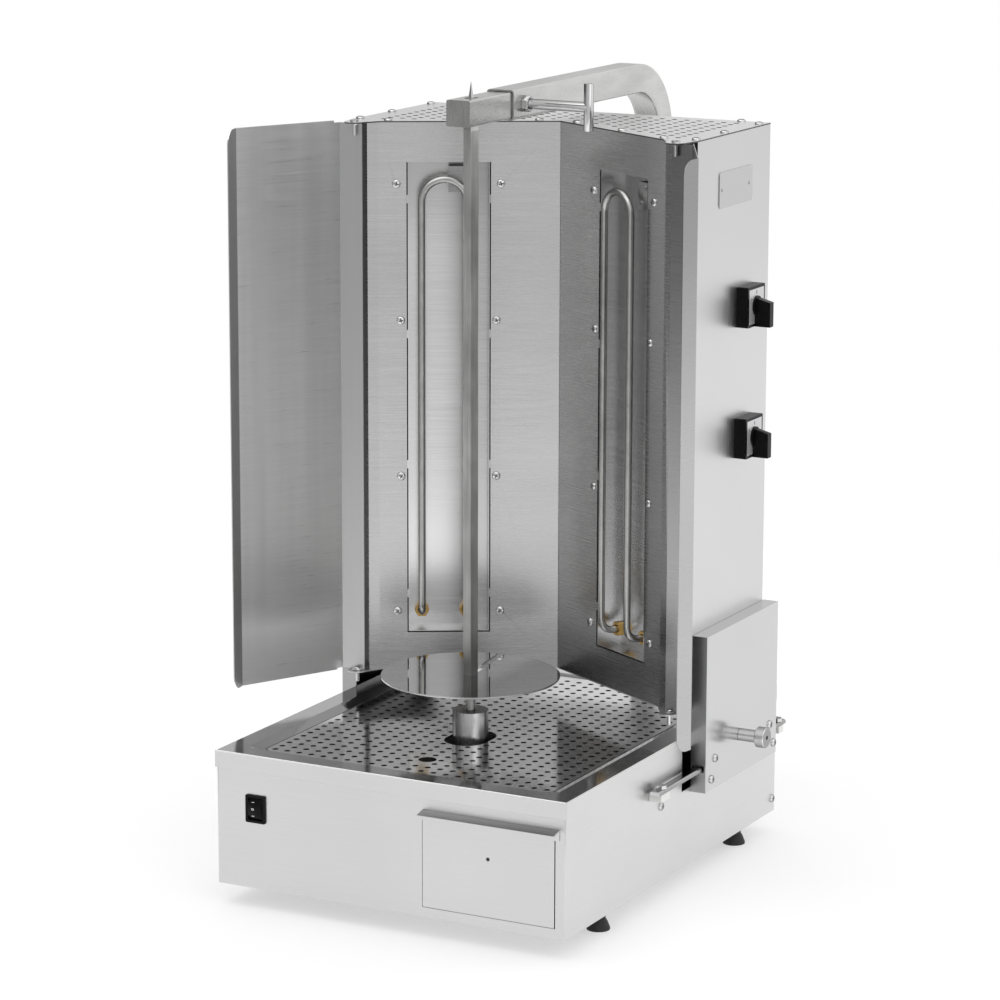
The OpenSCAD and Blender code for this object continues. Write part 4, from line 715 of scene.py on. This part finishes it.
def screwParts(look):
    r, h, shank = look["radius"] * mm, look["height"] * mm, look["shank"] * mm
    profile = [(shank, -look["shankDepth"] * mm), (shank, 0)] + [(a * r, b * h) for a, b in look["dome"]]
    head = meshObject("screwHead", *lathe(profile, look["sides"]), None, look["smooth"])
    a, b = look["slotLength"] / 2 * mm, look["slotWidth"] / 2 * mm
    vertices = []
    faces = []
    for lx, ly in ((a, b), (b, a)):
        first = len(vertices)
        corners = [(-lx, -ly), (lx, -ly), (lx, ly), (-lx, ly)]
        vertices += [(x, y, level * h) for level in (look["slotFloor"], look["slotTop"]) for x, y in corners]
        faces += [tuple(first + i for i in f) for f in
                  ((4, 5, 6, 7), (0, 1, 5, 4), (1, 2, 6, 5), (2, 3, 7, 6), (3, 0, 4, 7))]
    recess = meshObject("screwRecess", vertices, faces, None, 0)
    return head, recess


screwHead, screwRecess = screwParts(screwLook)
screwNodes = screwTree()


def screwSet(name, places):
    things = meshObject(name, [p for p, facing in places], [])
    attribute = things.data.attributes.new("facing", "FLOAT_VECTOR", "POINT")
    attribute.data.foreach_set("vector", [c for p, facing in places for c in facing])
    # Heads in hardware steel, their slots near black as painted shade
    return applyTree(things, screwNodes, {
        "Head": screwHead, "Recess": screwRecess,
        "Head Material": looks["hardwareSteel"], "Recess Material": looks["recessDark"]})


# The heater panels stand in a V: s runs along a panel from its outer end, n out of its front
vLook = {"angle": math.radians(29.75), "outer": (198.6, 309.5)}


def panelPoint(side, s, n, z):
    x = vLook["outer"][0] - s * math.cos(vLook["angle"]) - n * math.sin(vLook["angle"])
    y = vLook["outer"][1] + s * math.sin(vLook["angle"]) - n * math.cos(vLook["angle"])
    return spot(side * x, y, z)


def panelFacing(side):
    return Vector((-side * math.sin(vLook["angle"]), -math.cos(vLook["angle"]), 0))


bothSides = (-1, 1)
right = Vector((1, 0, 0))
up = Vector((0, 0, 1))
panelScrews = {"middle": 96.4, "low": 257.2, "height": 572,
               "rows": [(62, 0.047), (57, 0.338), (57, 0.669), (62, 0.955)]}
places = [(panelPoint(side, panelScrews["middle"] + across * half, 0,
                      panelScrews["low"] + share * panelScrews["height"]), panelFacing(side))
          for side in bothSides for half, share in panelScrews["rows"] for across in bothSides]
panelScrewSet = screwSet("panelScrewSet", places)
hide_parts("panel_screws")

boxScrews = {"x": 244.5, "spots": [(350.1, 149.2), (340.2, 125.9), (507.4, 151.6), (519.8, 126.1)]}
places = [(spot(side * boxScrews["x"], y, z), right * side)
          for side in bothSides for y, z in boxScrews["spots"]]
boxScrewSet = screwSet("boxScrewSet", places)
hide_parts("side_box_screws")

coverScrews = {"z": 878, "spots": [(219, 329.6), (219, 406.8), (219, 504.2), (190.1, 518.5)],
               "vLength": 228.7, "vInset": 6, "vShares": [0.11, 0.48, 0.89]}
places = [(spot(side * x, y, coverScrews["z"]), up) for side in bothSides for x, y in coverScrews["spots"]]
places += [(panelPoint(side, share * coverScrews["vLength"], -coverScrews["vInset"], coverScrews["z"]), up)
           for side in bothSides for share in coverScrews["vShares"]]
coverScrewSet = screwSet("coverScrewSet", places)
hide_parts("cover_screws")
for thing in (panelScrewSet, boxScrewSet, coverScrewSet):
    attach(thing, "cabinet")

baseScrews = {"x": 225, "spots": [(243.7, 115.6), (562.7, 41.6)]}
places = [(spot(side * baseScrews["x"], y, z), right * side)
          for side in bothSides for y, z in baseScrews["spots"]]
baseScrewSet = screwSet("baseScrewSet", places)
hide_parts("base_screws")
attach(baseScrewSet, "base")
bpy.data.objects.remove(screwHead)
bpy.data.objects.remove(screwRecess)
print("screws set")

# Switch labels and rocker legend

labelLook = {"size": 41, "thickness": 0.25, "x": 240, "y": 458, "heights": (671, 515), "markSize": 6,
             "markOut": 0.3, "marks": (("0", 0, 16), ("1", -15, 9))}
printLook = {"thickness": 0.05}


def textPiece(name, words, size, material, place, turns):
    curve = bpy.data.curves.new(name, "FONT")
    curve.body = words
    curve.size = size * mm
    curve.align_x = "CENTER"
    curve.align_y = "CENTER"
    curve.extrude = printLook["thickness"] * mm
    made = bpy.data.objects.new(name, curve)
    scene.collection.objects.link(made)
    made.rotation_euler = [math.radians(t) for t in turns]
    made.location = place
    bpy.context.view_layer.update()
    mesh = bpy.data.meshes.new_from_object(made.evaluated_get(bpy.context.evaluated_depsgraph_get()))
    mesh.transform(made.matrix_world)
    bpy.data.objects.remove(made)
    bpy.data.curves.remove(curve)
    mesh.materials.clear()
    mesh.materials.append(material)
    thing = bpy.data.objects.new(name, mesh)
    scene.collection.objects.link(thing)
    return thing

for index, height in enumerate(labelLook["heights"]):
    half, x, y = labelLook["size"] / 2, labelLook["x"], labelLook["y"]
    label = box(f"switchLabel{index}", spot(x, y - half, height - half),
                spot(x + labelLook["thickness"], y + half, height + half), looks["labelSilver"])
    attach(label, "cabinet")
    for word, dy, dz in labelLook["marks"]:
        mark = textPiece(f"switchMark{index}{word}", word, labelLook["markSize"], looks["recessDark"],
                         spot(x + labelLook["markOut"], y + dy, height + dz), (90, 0, 90))
        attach(mark, "cabinet")

# The rocker's face falls back above and below its middle, so the outer marks lie deeper
rockerLook = {"x": -172.9, "z": 120.4, "shift": 3, "size": 5.5, "out": 3.3, "dip": 1.1,
              "marks": (("I", 1), ("0", 0), ("II", -1)), "step": 8}
for word, row in rockerLook["marks"]:
    out = rockerLook["out"] - rockerLook["dip"] * row ** 2
    mark = textPiece(f"rockerMark{len(word)}{word}", word, rockerLook["size"], looks["whitePrint"],
                     spot(rockerLook["x"] - rockerLook["shift"], -out,
                          rockerLook["z"] + row * rockerLook["step"]), (90, 90, 0))
    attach(mark, "rocker")
print("labels placed")

# Floor, light and camera

floorLook = {"color": (0.6, 0.6, 0.6), "rough": 0.9, "half": 1.7, "glow": 0.42}
half = floorLook["half"]
floor = meshObject("floor", [(-half, -half, 0), (half, -half, 0), (half, half, 0), (-half, half, 0)],
                   [(0, 1, 2, 3)], None, 0)
floorMaterial, _, floorShader = freshMaterial("floorPale")
floorShader.inputs["Base Color"].default_value = (*floorLook["color"], 1)
floorShader.inputs["Roughness"].default_value = floorLook["rough"]
floorShader.inputs["Emission Color"].default_value = (1, 1, 1, 1)
floorShader.inputs["Emission Strength"].default_value = floorLook["glow"]
floor.data.materials.append(floorMaterial)

# The studio round the grill: brightness from front to back and left to right, and overhead.
# The camera itself sees plain white.
worldLook = {
    "seen": 1.0, "front": 0.55, "back": 1.0, "left": 0.1, "right": 1.05, "zenith": 1.1,
    "depthRange": (-0.5, 0.5), "sideRange": (-1, -0.1), "riseRange": (0.35, 0.8),
}


def blended(tree, factor, source, value):
    mix = tree.nodes.new("ShaderNodeMix")
    mix.data_type = "FLOAT"
    mix.inputs["B"].default_value = value
    tree.links.new(factor, mix.inputs["Factor"])
    tree.links.new(source, mix.inputs["A"])
    return mix.outputs["Result"]


def studioWorld(look):
    world = bpy.data.worlds.new("studio")
    scene.world = world
    world.use_nodes = True
    tree = world.node_tree
    background = tree.nodes["Background"]
    coord = tree.nodes.new("ShaderNodeTexCoord")
    split = tree.nodes.new("ShaderNodeSeparateXYZ")
    tree.links.new(coord.outputs["Generated"], split.inputs["Vector"])
    depth = rangeOf(tree, split.outputs["Y"], look["front"], look["back"], *look["depthRange"])
    side = rangeOf(tree, split.outputs["X"], look["left"], look["right"], *look["sideRange"])
    lift = rangeOf(tree, split.outputs["Z"], 0, 1, *look["riseRange"])
    light = blended(tree, lift, multiplied(tree, depth, side), look["zenith"])
    path = tree.nodes.new("ShaderNodeLightPath")
    strength = blended(tree, path.outputs["Is Camera Ray"], light, look["seen"])
    tree.links.new(strength, background.inputs["Strength"])
    background.inputs["Color"].default_value = (1, 1, 1, 1)


studioWorld(worldLook)

lightLooks = {
    "topSoft": {"place": (-0.4, -0.8, 3.0), "size": (2.4, 2.4), "power": 14},
    "rightSoft": {"place": (2.6, -2.0, 1.6), "size": (1.8, 2.4), "power": 9},
}
lightAim = Vector((0, 0, 0.4))
for name, look in lightLooks.items():
    data = bpy.data.lights.new(name, "AREA")
    data.shape = "RECTANGLE"
    data.size, data.size_y = look["size"]
    data.energy = look["power"]
    light = bpy.data.objects.new(name, data)
    scene.collection.objects.link(light)
    light.location = look["place"]
    light.rotation_euler = (lightAim - Vector(look["place"])).to_track_quat("-Z", "Y").to_euler()

cameraLook = {"place": (2.062828, -3.662881 + yFront, 1.409359), "turns": (77.80164, -0.14544, 27.70446),
              "lens": 139.957, "sensor": 36, "reach": 100}
cameraData = bpy.data.cameras.new("camera")
camera = bpy.data.objects.new("camera", cameraData)
scene.collection.objects.link(camera)
camera.location = cameraLook["place"]
camera.rotation_euler = [math.radians(t) for t in cameraLook["turns"]]
cameraData.lens = cameraLook["lens"]
cameraData.sensor_width = cameraLook["sensor"]
cameraData.clip_end = cameraLook["reach"]
scene.camera = camera

scene.view_settings.view_transform = "Standard"
scene.view_settings.look = "None"

print("scene ready")
